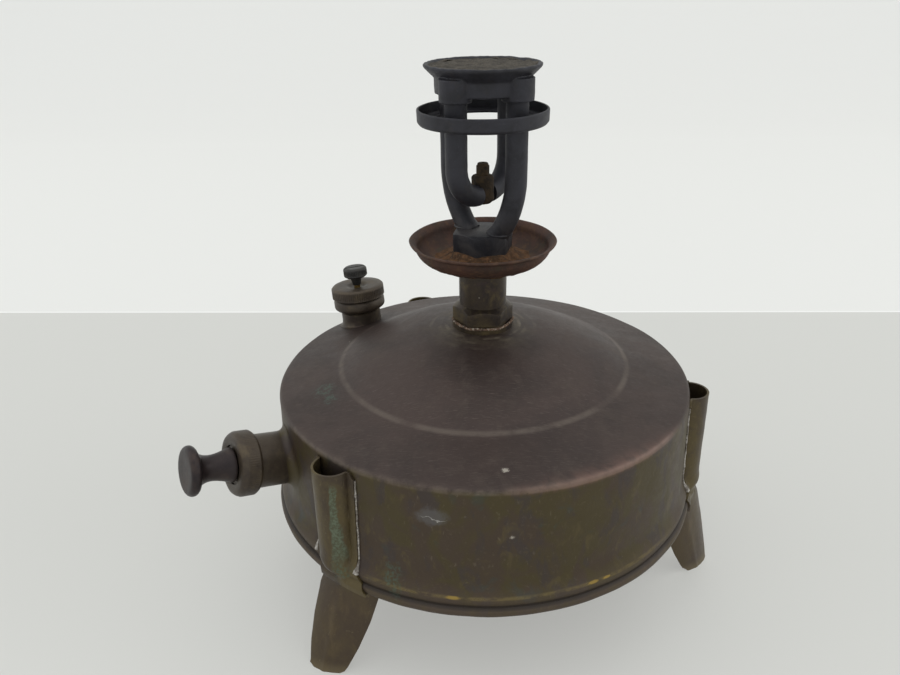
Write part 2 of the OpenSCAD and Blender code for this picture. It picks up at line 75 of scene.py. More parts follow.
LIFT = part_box("tank_shell")[0].z / MM
TANK_R = 89.0
RIM_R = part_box("tank_shell")[1].x / MM
SHOULDER_Z = LIFT + 53.7
CREASE_R = 62.1
CREASE_Z = SHOULDER_Z + 5.5
DOME_CURVE = 115.0
DOME_TOP = CREASE_Z + DOME_CURVE - math.sqrt(DOME_CURVE ** 2 - CREASE_R ** 2)
BUSH_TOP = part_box("tank_bush")[1].z / MM
RISER_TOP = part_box("riser")[1].z / MM
CUP_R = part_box("spirit_cup")[1].x / MM
CUP_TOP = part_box("spirit_cup")[1].z / MM
BASE_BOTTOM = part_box("burner_washer")[1].z / MM
BASE_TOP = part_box("burner_base")[1].z / MM
HEX_AZ = -103.0
NUT_AZ = -117.0
TUBE_R = 4.3
TUBE_PLACE_R = 16.3
HEAD_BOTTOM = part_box("burner_head")[0].z / MM
BELL_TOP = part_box("burner_head")[1].z / MM
BELL_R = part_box("burner_head")[1].x / MM
RING_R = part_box("burner_ring")[1].x / MM
RING_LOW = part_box("burner_ring")[0].z / MM
RING_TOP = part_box("burner_ring")[1].z / MM
JET_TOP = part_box("jet_block")[1].z / MM
TUBE_AZ = {"back_left": 142.0, "front_right": -38.0, "front_left": -128.0, "back_right": 52.0}
LEG_AZ = {"front_left": -128.5, "right": -8.5, "back": 111.5}
LEG_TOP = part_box("leg_right")[1].z / MM
SHEET = 0.9


def joint_axis(name):
    """Unit vector of a joint's axis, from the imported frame."""
    joint = next(j for j in frame["joints"] if j["name"] == name)
    return Vector(joint["axis"]).normalized()


def polar(r, azimuth, z=0.0):
    """A point at radius r and height z, in the direction azimuth degrees from +X."""
    a = math.radians(azimuth)
    return Vector((r * math.cos(a), r * math.sin(a), z))


def placed(origin, axis):
    """A matrix that takes +Z to axis and the local origin to origin."""
    turn = Vector((0, 0, 1)).rotation_difference(axis).to_matrix().to_4x4()
    return Matrix.Translation(origin) @ turn


PUMP_AXIS = joint_axis("pump_stroke")
PUMP_AZ = -155
PUMP_Z = 76.2
PUMP_FOOT = polar(TANK_R, PUMP_AZ, PUMP_Z)
PUMP = placed(PUMP_FOOT, PUMP_AXIS)
FILLER_AXIS = joint_axis("filler_cap_turn")
SHOULDER_SLOPE = math.atan2(CREASE_Z - SHOULDER_Z, TANK_R - CREASE_R)
FILLER_R = 77.0
FILLER_AZ = 141.5
FILLER_Z = SHOULDER_Z + (TANK_R - FILLER_R) * math.tan(SHOULDER_SLOPE)
FILLER_FOOT = polar(FILLER_R, FILLER_AZ, FILLER_Z)
FILLER = placed(FILLER_FOOT, FILLER_AXIS)

# ---------- shape helpers ----------


def clamp01(t):
    return min(max(t, 0.0), 1.0)


def ease(t):
    """Smooth step from 0 to 1."""
    t = clamp01(t)
    return t * t * (3 - 2 * t)


def lerp(a, b, t):
    return a + (b - a) * t


def lump(x, y, z, size, seed=0.0):
    """Smooth noise between about -1 and 1, with lumps of the given size in millimetres."""
    return noise.noise(Vector((x / size + seed * 7.31, y / size - seed * 3.17, z / size + seed)))


def rough(x, y, z, size, seed=0.0, octaves=3):
    """Several octaves of lump(), each half the size and strength of the one before."""
    total, gain = 0.0, 1.0
    for i in range(octaves):
        total += gain * lump(x, y, z, size / 2 ** i, seed + i)
        gain *= 0.5
    return total


def around(a, r):
    """x and y of the point at radius r and angle a, in radians."""
    return r * math.cos(a), r * math.sin(a)


def at(r0, z0, *points):
    """Points of an outline, each given by how far it is out from radius r0 and up from height z0."""
    return [(r0 + r, z0 + z) for r, z in points]


def softened(points, cut=0.4, steps=3, closed=True):
    """The outline with each corner replaced by a small curve that starts cut away from the corner."""
    out = []
    count = len(points)
    for i, p in enumerate(points):
        p = Vector(p)
        if not closed and i in (0, count - 1):
            out.append(tuple(p))
            continue
        before, after = Vector(points[i - 1]), Vector(points[(i + 1) % count])
        a = p.lerp(before, min(0.45, cut / max((before - p).length, 1e-6)))
        b = p.lerp(after, min(0.45, cut / max((after - p).length, 1e-6)))
        for k in range(steps + 1):
            t = k / steps
            out.append(tuple(a.lerp(p, t).lerp(p.lerp(b, t), t)))
    return out


def refined(points, step):
    """The polyline with extra points, so that no stretch is longer than step."""
    out = [points[0]]
    for a, b in zip(points, points[1:]):
        a, b = Vector(a), Vector(b)
        count = max(1, math.ceil((b - a).length / step))
        out += [tuple(a.lerp(b, k / count)) for k in range(1, count + 1)]
    return out


def lathe(profile, segments=96, shape=None, closed=True):
    """Vertices and faces of the outline turned about +Z. shape(angle, r, z) may move each point."""
    verts, rings = [], []
    for r, z in profile:
        start = len(verts)
        if r < 1e-6:
            verts.append((0.0, 0.0, shape(0.0, 0.0, z)[1] if shape else z))
            rings.append([start] * segments)
            continue
        for j in range(segments):
            a = 2 * math.pi * j / segments
            rr, zz = shape(a, r, z) if shape else (r, z)
            verts.append((rr * math.cos(a), rr * math.sin(a), zz))
        rings.append(list(range(start, start + segments)))
    faces = []
    for low, high in zip(rings, rings[1:] + (rings[:1] if closed else [])):
        for j in range(segments):
            k = (j + 1) % segments
            corners = list(dict.fromkeys((low[j], low[k], high[k], high[j])))
            if len(corners) > 2:
                faces.append(corners)
    return verts, faces


def sweep(path, radius, segments=16, closed=False):
    """Vertices and faces of a round bar along path. radius is a number or a function of the fraction."""
    count = len(path)
    verts, faces = [], []
    tangents = []
    for i in range(count):
        before = path[i - 1] if i or closed else path[0]
        after = path[(i + 1) % count] if i < count - 1 or closed else path[-1]
        tangents.append((after - before).normalized())
    side = tangents[0].orthogonal().normalized()
    for i, centre in enumerate(path):
        if i:
            side = tangents[i - 1].rotation_difference(tangents[i]) @ side
        side = (side - side.dot(tangents[i]) * tangents[i]).normalized()
        up = tangents[i].cross(side)
        for j in range(segments):
            a = 2 * math.pi * j / segments
            r = radius(i / (count - 1), a) if callable(radius) else radius
            verts.append(tuple(centre + (side * math.cos(a) + up * math.sin(a)) * r))
    rows = count if closed else count - 1
    for i in range(rows):
        for j in range(segments):
            k = (j + 1) % segments
            a, b = i * segments, ((i + 1) % count) * segments
            faces.append((a + j, a + k, b + k, b + j))
    if not closed:
        faces.append(tuple(range(segments))[::-1])
        faces.append(tuple((count - 1) * segments + j for j in range(segments)))
    return verts, faces


def hex_radius(azimuth_rad, across_flats, corner_r=1e9, corner_az=HEX_AZ):
    """Distance from the axis to a hexagon's side, with its corners cut at corner_r."""
    a = (math.degrees(azimuth_rad) - corner_az) % 60.0
    return min(across_flats / 2 / math.cos(math.radians(a - 30.0)), corner_r)


def hexagon_lathe(across_flats, z_low, z_high, neck_r, chamfer, low_chamfer=0.3, corner_az=HEX_AZ):
    """A chamfered hexagonal nut, whose top slopes down from neck_r to its cut corners."""
    corner = across_flats / 2 / math.cos(math.radians(30)) - 0.25
    slope = chamfer / (corner - neck_r)
    rows = 5
    keys = [(0.0, "bottom", 0.0), (1.0, "bottom", 1.0)]
    keys += [(1.0, "side", t / rows) for t in range(rows + 1)]
    keys += [(t, "top", 0.0) for t in (0.985, 0.8, 0.6, 0.4, 0.2, 0.0)]

    def shape(a, r, z):
        fraction, part, t = keys[int(round(z))]
        outer = hex_radius(a, across_flats, corner, corner_az)
        top_here = z_high - max(0.0, outer - neck_r) * slope
        if part == "bottom":
            return (lerp(neck_r * 0.7, outer - low_chamfer, t), z_low)
        if part == "side":
            return (outer, lerp(z_low + low_chamfer, top_here - 0.15, t))
        rr = lerp(neck_r, outer, fraction)
        return (rr, z_high - max(0.0, rr - neck_r) * slope)

    profile = [(1.0, i) for i in range(len(keys))]
    return lathe(profile, 144, shape, closed=True)


def joined(*parts):
    """Several (verts, faces) pairs as one."""
    verts, faces = [], []
    for v, f in parts:
        start = len(verts)
        verts += list(v)
        faces += [tuple(i + start for i in face) for face in f]
    return verts, faces


def moved(part, matrix):
    """The (verts, faces) pair with its points moved by matrix."""
    verts, faces = part
    return [tuple(matrix @ Vector(v)) for v in verts], faces


def add_mesh(name, part, material, body="stove", replaces=(), place=None, angle=38):
    """A smooth-shaded piece from a (verts, faces) pair in millimetres, tied to its CAD body."""
    verts, faces = moved(part, place) if place else part
    mesh = bpy.data.meshes.new(name)
    mesh.from_pydata([tuple(c * MM for c in v) for v in verts], [], faces)
    grown = bmesh.new()
    grown.from_mesh(mesh)
    bmesh.ops.remove_doubles(grown, verts=grown.verts, dist=1e-7)
    bmesh.ops.recalc_face_normals(grown, faces=grown.faces)
    grown.to_mesh(mesh)
    grown.free()
    mesh.shade_smooth()
    mesh.set_sharp_from_angle(angle=math.radians(angle))
    obj = bpy.data.objects.new(name, mesh)
    bpy.context.scene.collection.objects.link(obj)
    mesh.materials.append(material)
    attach(obj, body)
    if replaces:
        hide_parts(*replaces)
    return obj


def pushed(part, amount):
    """The (verts, faces) pair with each point pushed along its normal by amount(x, y, z)."""
    verts, faces = part
    mesh = bpy.data.meshes.new("scratch")
    mesh.from_pydata(verts, [], faces)
    grown = bmesh.new()
    grown.from_mesh(mesh)
    bmesh.ops.recalc_face_normals(grown, faces=grown.faces)
    grown.verts.ensure_lookup_table()
    grown.normal_update()
    out = [tuple(v.co + v.normal * amount(*v.co)) for v in grown.verts]
    grown.free()
    bpy.data.meshes.remove(mesh)
    return out, faces


def scratch_object(part):
    """A short-lived object made from a (verts, faces) pair, for modifiers to work on."""
    mesh = bpy.data.meshes.new("scratch")
    mesh.from_pydata([tuple(v) for v in part[0]], [], part[1])
    grown = bmesh.new()
    grown.from_mesh(mesh)
    bmesh.ops.recalc_face_normals(grown, faces=grown.faces)
    grown.to_mesh(mesh)
    grown.free()
    obj = bpy.data.objects.new("scratch", mesh)
    bpy.context.scene.collection.objects.link(obj)
    return obj


def discard(obj):
    """Remove a short-lived object and its mesh."""
    mesh = obj.data
    bpy.data.objects.remove(obj)
    bpy.data.meshes.remove(mesh)


def modified(obj):
    """The (verts, faces) pair that an object's modifiers give; the object is removed."""
    bpy.context.view_layer.update()
    final = obj.evaluated_get(bpy.context.evaluated_depsgraph_get()).to_mesh()
    out = [tuple(v.co) for v in final.vertices], [tuple(p.vertices) for p in final.polygons]
    discard(obj)
    return out


def voxelled(part, size, smooth_steps=4):
    """Overlapping closed forms fused into one skin with soft corners, as a casting has."""
    obj = scratch_object(part)
    remesh = obj.modifiers.new("remesh", "REMESH")
    remesh.mode = "VOXEL"
    remesh.voxel_size = size
    relax = obj.modifiers.new("smooth", "SMOOTH")
    relax.factor = 0.5
    relax.iterations = smooth_steps
    return modified(obj)


def bored(part, cutter):
    """The (verts, faces) pair with the closed form cutter taken out of it."""
    obj, tool = scratch_object(part), scratch_object(cutter)
    cut = obj.modifiers.new("cut", "BOOLEAN")
    cut.operation = "DIFFERENCE"
    cut.solver = "EXACT"
    cut.object = tool
    out = modified(obj)
    discard(tool)
    return out


# ---------- material helpers ----------


def linear(code, alpha=1.0):
    """A colour such as "4c413f", as the linear values that a shader takes."""
    parts = [int(code[i:i + 2], 16) / 255 for i in (0, 2, 4)]
    return tuple(c / 12.92 if c <= 0.04045 else ((c + 0.055) / 1.055) ** 2.4 for c in parts) + (alpha,)


class Finish:
    """A node material on a Principled shader, worked out from the piece's own coordinates."""

    def __init__(self, name):
        self.material = bpy.data.materials.new(name)
        self.material.use_nodes = True
        self.tree = self.material.node_tree
        self.shader = next(n for n in self.tree.nodes if n.type == "BSDF_PRINCIPLED")
        self.coords = self.node("ShaderNodeTexCoord").outputs["Object"]
        split = self.node("ShaderNodeSeparateXYZ", Vector=self.coords)
        self.x, self.y, self.z = split.outputs

    def node(self, kind, settings=None, **inputs):
        made = self.tree.nodes.new(kind)
        for key, value in (settings or {}).items():
            setattr(made, key, value)
        for key, value in inputs.items():
            self.put(made.inputs[key.replace("_", " ")], value)
        return made

    def put(self, socket, value):
        if isinstance(value, bpy.types.NodeSocket):
            self.tree.links.new(value, socket)
        else:
            socket.default_value = value

    def math(self, operation, a, b=0.0, clamp=False):
        made = self.node("ShaderNodeMath", {"operation": operation, "use_clamp": clamp})
        self.put(made.inputs[0], a)
        self.put(made.inputs[1], b)
        return made.outputs[0]

    def scaled(self, scale=(1, 1, 1), offset=(0, 0, 0), turn=(0, 0, 0)):
        return self.node("ShaderNodeMapping", Vector=self.coords, Scale=scale, Location=offset,
                         Rotation=turn).outputs[0]

    def noise(self, size, detail=4.0, roughness=0.55, distortion=0.0, seed=0.0, stretch=(1, 1, 1)):
        """Noise with features of about size millimetres; stretch makes them longer along an axis."""
        scale = tuple(1 / (size * MM * s) for s in stretch)
        where = self.scaled(scale, (seed * 3.7, seed * 1.9, seed * 5.3))
        return self.node("ShaderNodeTexNoise", Vector=where, Scale=1.0, Detail=detail,
                         Roughness=roughness, Distortion=distortion).outputs["Fac"]

    def band(self, value, low, high, to_low=0.0, to_high=1.0):
        """value mapped from low..high to to_low..to_high, with soft ends."""
        made = self.node("ShaderNodeMapRange", {"interpolation_type": "SMOOTHSTEP"}, Value=value)
        ends = {"From Min": low, "From Max": high, "To Min": to_low, "To Max": to_high}
        for key, number in ends.items():
            made.inputs[key].default_value = number
        return made.outputs[0]

    def stripe(self, value, centre, half_width, soft):
        """1 where value is within half_width of centre, falling to 0 over soft."""
        off = self.math("ABSOLUTE", self.math("SUBTRACT", value, centre))
        return self.band(off, half_width, half_width + soft, 1.0, 0.0)

    def mix(self, factor, a, b, mode="MIX"):
        made = self.node("ShaderNodeMix", {"data_type": "RGBA", "blend_type": mode})
        self.put(made.inputs[0], factor)
        self.put(made.inputs[6], linear(a) if isinstance(a, str) else a)
        self.put(made.inputs[7], linear(b) if isinstance(b, str) else b)
        return made.outputs[2]

    def over(self, under, code, strength, *masks):
        """The colour under with a coat of code on it where the masks are 1, at the given strength."""
        return self.mix(self.times(*masks, strength), under, code)

    def times(self, *factors):
        out = factors[0]
        for f in factors[1:]:
            out = self.math("MULTIPLY", out, f)
        return out

    def radius(self):
        """Distance from the object's +Z axis, in metres."""
        return self.math("SQRT", self.math("ADD", self.math("MULTIPLY", self.x, self.x),
                                           self.math("MULTIPLY", self.y, self.y)))

    def along(self, direction):
        """The coordinate along a direction, in metres."""
        made = self.node("ShaderNodeVectorMath", {"operation": "DOT_PRODUCT"})
        self.put(made.inputs[0], self.coords)
        made.inputs[1].default_value = tuple(direction)
        return made.outputs["Value"]

    def near(self, point_mm, size, ragged=0.5, seed=0.0, stretch=(1, 1, 1)):
        """1 near a point given in millimetres, falling to 0 at about size, with a ragged edge."""
        away = self.node("ShaderNodeVectorMath", {"operation": "SUBTRACT"})
        self.put(away.inputs[0], self.coords)
        away.inputs[1].default_value = tuple(c * MM for c in point_mm)
        shaped = self.node("ShaderNodeVectorMath", {"operation": "DIVIDE"})
        self.put(shaped.inputs[0], away.outputs[0])
        shaped.inputs[1].default_value = stretch
        length = self.node("ShaderNodeVectorMath", {"operation": "LENGTH"})
        self.put(length.inputs[0], shaped.outputs[0])
        edge_noise = self.noise(size * 0.5, 5, 0.7, 0, seed)
        wobble = self.times(self.math("SUBTRACT", edge_noise, 0.5), ragged * size * MM * 2)
        return self.band(self.math("ADD", length.outputs["Value"], wobble), size * MM * 0.45, size * MM,
                         1.0, 0.0)

    def flecks(self, spacing, size, share, seed=0.0):
        """1 on scattered round flecks, sized in millimetres; share is the part of the cells with one."""
        where = self.scaled((1 / (spacing * MM),) * 3, (seed * 2.3, seed * 4.1, seed * 1.7))
        cells = self.node("ShaderNodeTexVoronoi", Vector=where, Scale=1.0, Randomness=1.0)
        chosen = self.node("ShaderNodeSeparateColor", Color=cells.outputs["Color"]).outputs[0]
        dot = self.band(cells.outputs["Distance"], size / spacing * 0.5, size / spacing, 1.0, 0.0)
        return self.times(dot, self.band(chosen, 1 - share, 1 - share + 0.02))

    def scratches(self, size, turn, seed=0.0, amount=0.62):
        """Thin straight hairlines in one direction."""
        where = self.scaled((1 / (size * MM * 14), 1 / (size * MM), 1 / (size * MM * 14)),
                            (seed * 3.1, seed * 2.7, seed), turn)
        lines = self.node("ShaderNodeTexNoise", Vector=where, Scale=1.0, Detail=3.0, Roughness=0.6,
                          Distortion=0.15).outputs["Fac"]
        return self.band(lines, amount, amount + 0.12)

    def bumped(self, height, depth, strength=1.0):
        """Set the shader's normal from a height between 0 and 1 that stands for depth millimetres."""
        bump = self.node("ShaderNodeBump", Height=height, Distance=depth * MM, Strength=strength)
        self.tree.links.new(bump.outputs[0], self.shader.inputs["Normal"])

    def finish(self, colour, roughness, metallic, specular=0.5):
        self.put(self.shader.inputs["Base Color"], colour)
        self.put(self.shader.inputs["Roughness"], roughness)
        self.put(self.shader.inputs["Metallic"], metallic)
        self.shader.inputs["Specular IOR Level"].default_value = specular
        return self.material


def patina(name, dark, mid, light, tint, metallic=0.55, roughness=0.45, grain=2.2, pits=0.12,
           fleck_share=0.10, worn=None):
    """Aged brass or bronze: three clouded tones, a tint in patches, hairlines, flecks and a fine bump."""
    f = Finish(name)
    clouds = f.noise(26, 5, 0.6, 0.6, 1.0)
    patches = f.noise(9, 6, 0.65, 0.3, 2.0)
    fine = f.noise(grain, 6, 0.7, 0.0, 3.0)
    colour = f.mix(f.band(clouds, 0.36, 0.62), dark, mid)
    colour = f.over(colour, light, 0.75, f.band(patches, 0.48, 0.70))
    colour = f.over(colour, tint, 0.6, f.band(f.noise(14, 4, 0.6, 0.8, 5.0), 0.55, 0.72))
    colour = f.over(colour, light, 0.28, f.band(fine, 0.50, 0.74))
    colour = f.over(colour, "1c1715", 0.35, f.band(fine, 0.46, 0.30))
    if worn:
        colour = f.over(colour, worn, 0.55, worn_edges(f))
    colour = f.over(colour, light, 0.30, f.scratches(0.22, (0.3, 0.2, 0.5), 2.0))
    colour = f.over(colour, "a59c8c", 0.5, f.flecks(5.5, 0.42, fleck_share, 4.0))
    rough_value = f.math("ADD", f.times(f.math("SUBTRACT", patches, 0.5), 0.35),
                         f.math("ADD", f.times(f.math("SUBTRACT", fine, 0.5), 0.25), roughness))
    f.bumped(f.math("ADD", f.times(fine, 0.6), f.times(patches, 0.4)), pits)
    return f.finish(colour, rough_value, metallic)


def worn_edges(f):
    """1 where the mesh's surface is sharply convex, so that rubbed edges show bare metal."""
    geometry = f.node("ShaderNodeNewGeometry")
    edges = f.band(geometry.outputs["Pointiness"], 0.52, 0.60)
    return f.times(edges, f.band(f.noise(3, 5, 0.7), 0.35, 0.65))


# ---------- materials ----------


def tank_material():
    """Brown matt top, olive and purple-brown side with vertical streaks, the marks of wear, painted
    highlights on the shoulder's edge and crease, and painted shade in the groove.
    """
    f = Finish("tank_patina")
    clouds = f.noise(34, 5, 0.6, 0.5, 1.0)
    patches = f.noise(11, 6, 0.62, 0.4, 2.0)
    fine = f.noise(2.0, 6, 0.7, 0.0, 3.0)
    grit = f.noise(0.6, 4, 0.6, 0.0, 4.0)
    r = f.radius()

    top = f.mix(f.band(clouds, 0.35, 0.65), "362b27", "41342f")
    top = f.over(top, "4c413a", 0.5, f.band(patches, 0.50, 0.72))
    top = f.over(top, "332a27", 0.5, f.band(f.noise(18, 4, 0.6, 1.0, 6.0), 0.56, 0.74))
    for turn, seed in (((0.0, 0.0, 0.35), 1.0), ((0.0, 0.0, -0.9), 2.0), ((0.0, 0.0, 1.4), 3.0)):
        top = f.over(top, "80746a", 0.16, f.scratches(0.30, turn, seed, 0.60))
    # A pale ring along the crease: partly wear, partly painted highlight on the step.
    crease_wear_and_highlight = f.times(f.stripe(r, CREASE_R * MM, 0.0003, 0.0014),
                   f.band(f.noise(16, 4, 0.6, 0, 7.0), 0.35, 0.6, 0.2))
    top = f.over(top, "74695e", 0.38, crease_wear_and_highlight)
    for ring_r, strength in ((15.6, 0.5), (18.6, 0.25), (22.4, 0.12)):
        ring = f.times(f.stripe(r, ring_r * MM, 0.0003, 0.0009),
                       f.band(f.noise(7, 4, 0.6, 0, ring_r), 0.42, 0.7))
        top = f.over(top, "8f8472", strength, ring)
    halo = f.times(f.band(r, 0.027, 0.014), f.band(patches, 0.35, 0.65))
    top = f.over(top, "6f6552", 0.5, halo)

    streaks = f.noise(9, 5, 0.62, 0.5, 8.0, (1.0, 1.0, 2.2))
    blots = f.noise(15, 3, 0.5, 0.9, 9.0, (1.0, 1.0, 1.3))
    side = f.mix(f.band(blots, 0.40, 0.58), "433629", "443a20")
    side = f.over(side, "3c3330", 0.75, f.band(streaks, 0.50, 0.62))
    side = f.over(side, "54482a", 0.6, f.band(f.noise(7, 4, 0.6, 0.8, 10.0, (1, 1, 1.6)), 0.56, 0.70))
    side = f.over(side, "38403a", 0.45, f.band(f.noise(12, 3, 0.6, 0.4, 11.0), 0.60, 0.72))
    side = f.over(side, "756a52", 0.22, f.band(fine, 0.55, 0.75))
    side = f.over(side, "857a64", 0.2, f.scratches(0.25, (0.0, 1.2, 0.3), 5.0, 0.63))
    low = f.band(f.z, 0.056, 0.047)
    side = f.over(side, "514438", 0.55, low)
    front = f.band(f.along(polar(1, -84)), 0.045, 0.082)
    gold_line = f.times(f.stripe(f.z, 0.0511, 0.0002, 0.0008), front,
                        f.band(f.noise(6, 5, 0.7, 0, 12.0, (1, 1, 0.4)), 0.36, 0.62))
    side = f.over(side, "76663a", 0.45, gold_line)
    gold_spots = {(-10.9, -91.5, 51.1): 2.4, (41.3, -82.3, 51.1): 2.2, (46.7, -79.4, 51.1): 1.8}
    for spot, size in gold_spots.items():
        side = f.mix(f.near(spot, size, 0.3, size, (1.4, 1.0, 0.35)), side, "8f7637")
    # Painted shade: a dark line painted along the groove above the rim.
    groove = f.stripe(f.z, (LIFT + 3.7) * MM, 0.0003, 0.0009)
    side = f.over(side, "241e1b", 0.75, groove)

    colour = f.mix(f.band(f.z, SHOULDER_Z * MM - 0.0022, SHOULDER_Z * MM - 0.0004), side, top)
    edge = f.stripe(f.z, SHOULDER_Z * MM - 0.0013, 0.0004, 0.0010)
    # A lighter line along the front of the shoulder's edge: partly wear, partly painted highlight.
    rubbed = f.times(edge, f.band(f.along(polar(1, -95)), 0.02, 0.085),
                     f.band(f.noise(5, 5, 0.7, 0, 13.0), 0.30, 0.62))
    colour = f.over(colour, "7d6f60", 0.3, rubbed)
    # Painted highlight: a pink-copper glint painted along the front-right of the shoulder's edge, and a
    # paler painted highlight on the edge itself there.
    highlight_side = f.band(f.along(polar(1, -58)), 0.076, 0.088)
    copper_highlight = f.times(f.stripe(f.z, SHOULDER_Z * MM - 0.0012, 0.0005, 0.0020), highlight_side,
                     f.band(f.noise(6, 5, 0.7, 0.5, 14.0), 0.28, 0.60))
    colour = f.over(colour, "76564a", 0.4, copper_highlight)
    colour = f.over(colour, "8d7468", 0.35, edge, highlight_side)

    for spot, size, height in (((-33.2, -82.6, 54.5), 5.0, 1.6), ((-32.3, -84.0, 48.5), 4.6, 1.0),
                               ((-66.0, -25.0, 101.0), 6.0, 1.0), ((-62.0, -33.0, 100.6), 4.0, 1.0)):
        green = f.times(f.near(spot, size, 0.9, size, (1, 1, height)),
                        f.band(f.noise(1.6, 5, 0.7, 0, 15.0), 0.44, 0.58))
        colour = f.over(colour, "4a6255", 0.42, green)
    lead = f.near((-18.0, -87.2, 84.6), 6.6, 0.55, 3.0, (1.1, 1.0, 0.7))
    colour = f.over(colour, "5a5756", 0.7, lead)
    wavy_z = f.math("ADD", f.z, f.times(f.noise(5.0, 3, 0.6, 0, 16.0), 0.011))
    crack = f.times(f.near((-17.5, -87.2, 83.6), 5.6, 0.2, 5.0, (1.1, 1, 0.6)),
                    f.stripe(wavy_z, 0.0890, 0.0, 0.0004))
    colour = f.over(colour, "aeaba5", 0.75, crack)
    pale_spots = {(10.4, -88.4, 77.0): 1.0, (-40.5, -31.0, 112.3): 0.8, (8.0, -79.0, 99.2): 1.4,
                  (49.0, -55.5, 101.0): 0.8, (67.0, -24.0, 102.3): 1.0, (70.0, -28.0, 101.6): 1.1}
    for spot, size in pale_spots.items():
        colour = f.over(colour, "b9b1a4", 0.7, f.near(spot, size, 0.8, size, (1.3, 1, 1)))
    colour = f.over(colour, "b4aa9b", 0.5, f.flecks(9.0, 0.45, 0.16, 6.0))
    colour = f.over(colour, "2a2422", 0.4, f.flecks(4.0, 0.30, 0.10, 7.0))

    bright = f.times(f.math("ADD", gold_line, f.times(copper_highlight, 0.5)), 0.25)
    shine = f.math("ADD", f.times(f.math("SUBTRACT", patches, 0.5), 0.30),
                   f.math("ADD", f.times(f.math("SUBTRACT", fine, 0.5), 0.22), 0.52))
    coarse = f.math("ADD", f.times(patches, 0.35), f.times(grit, 0.2))
    f.bumped(f.math("ADD", f.times(fine, 0.45), coarse), 0.10)
    return f.finish(colour, f.math("SUBTRACT", shine, bright), 0.45)


def leg_material(name, strip):
    """Olive-brown sheet brass; strip adds the green line of verdigris down the front left leg."""
    f = Finish(name)
    clouds = f.noise(16, 5, 0.6, 0.6, 21.0, (1, 1, 2.0))
    fine = f.noise(1.8, 6, 0.7, 0.0, 22.0)
    colour = f.mix(f.band(clouds, 0.38, 0.62), "43382b", "564a2e")
    colour = f.over(colour, "3b302c", 0.6, f.band(f.noise(8, 5, 0.6, 0.6, 23.0), 0.54, 0.70))
    colour = f.over(colour, "7a6c49", 0.25, f.band(fine, 0.52, 0.74))
    lower = f.band(f.z, 0.044, 0.036)
    ridge = f.noise(5, 4, 0.6, 0.2, 24.0, (1, 1, 3.0))
    colour = f.over(colour, "4a3c2f", 0.55, lower)
    colour = f.over(colour, "65553a", 0.35, lower, f.band(ridge, 0.50, 0.70))
    colour = f.over(colour, "8a7c5c", 0.35, f.band(f.z, 0.006, 0.0))
    colour = f.over(colour, "8f835f", 0.25, f.scratches(0.25, (0.1, 0.5, 0.9), 8.0, 0.62))
    if strip:
        across = polar(1, LEG_AZ["front_left"] + 90)
        along = f.band(f.z, 0.050, 0.062)
        top = f.band(f.z, 0.092, 0.086)
        wander = f.times(f.math("SUBTRACT", f.noise(9, 3, 0.6, 0, 25.0), 0.5), 0.003)
        centre = f.math("ADD", f.along(across), wander)
        taper = f.band(f.z, 0.058, 0.088, 1.0, 1.9)
        off_centre = f.times(f.math("SUBTRACT", centre, 0.0054), taper)
        stripe = f.times(f.stripe(off_centre, 0.0, 0.0013, 0.0009), along, top)
        grains = f.band(f.noise(1.1, 6, 0.75, 0, 26.0), 0.34, 0.60)
        colour = f.mix(f.times(stripe, f.band(grains, 0.0, 1.0, 0.50, 0.90)), colour, "4e5644")
        colour = f.over(colour, "717b66", 0.45, stripe, f.band(grains, 0.5, 1.0))
        for spot, size in (((-54.0, -80.0, 51.0), 5.0), ((-58.0, -78.5, 46.0), 4.0)):
            green = f.times(f.near(spot, size, 0.9, size),
                            f.band(f.noise(1.5, 5, 0.7, 0, 27.0), 0.42, 0.56))
            colour = f.over(colour, "4c6657", 0.5, green)
    colour = f.over(colour, "b0a78f", 0.5, f.flecks(6.0, 0.5, 0.14, 9.0))
    shine = f.math("ADD", f.times(f.math("SUBTRACT", fine, 0.5), 0.3), 0.42)
    f.bumped(f.math("ADD", f.times(fine, 0.6), f.times(clouds, 0.4)), 0.10)
    return f.finish(colour, shine, 0.5)


def solder_material():
    """Chalky white-grey solder with dark gaps."""
    f = Finish("solder")
    fine = f.noise(1.1, 6, 0.7, 0, 31.0)
    colour = f.mix(f.band(fine, 0.32, 0.56), "544a42", "b8b2a9")
    colour = f.over(colour, "5a5046", 0.7, f.band(f.noise(4, 4, 0.6, 0.4, 32.0), 0.45, 0.60))
    f.bumped(fine, 0.25)
    return f.finish(colour, 0.62, 0.35)


def crust_material(name, dark, mid, light, depth=0.35, light_share=0.60):
    """Burnt-on residue: granular, rough and blotchy."""
    f = Finish(name)
    fine = f.noise(0.9, 6, 0.75, 0, 41.0)
    blotch = f.noise(3.2, 5, 0.65, 0.4, 42.0)
    colour = f.mix(f.band(blotch, 0.38, 0.60), dark, mid)
    colour = f.mix(f.band(fine, light_share, light_share + 0.14), colour, light)
    colour = f.over(colour, "15110f", 0.6, f.band(fine, 0.44, 0.30))
    f.bumped(f.math("ADD", f.times(fine, 0.6), f.times(blotch, 0.4)), depth)
    return f.finish(colour, 0.88, 0.05, 0.3)


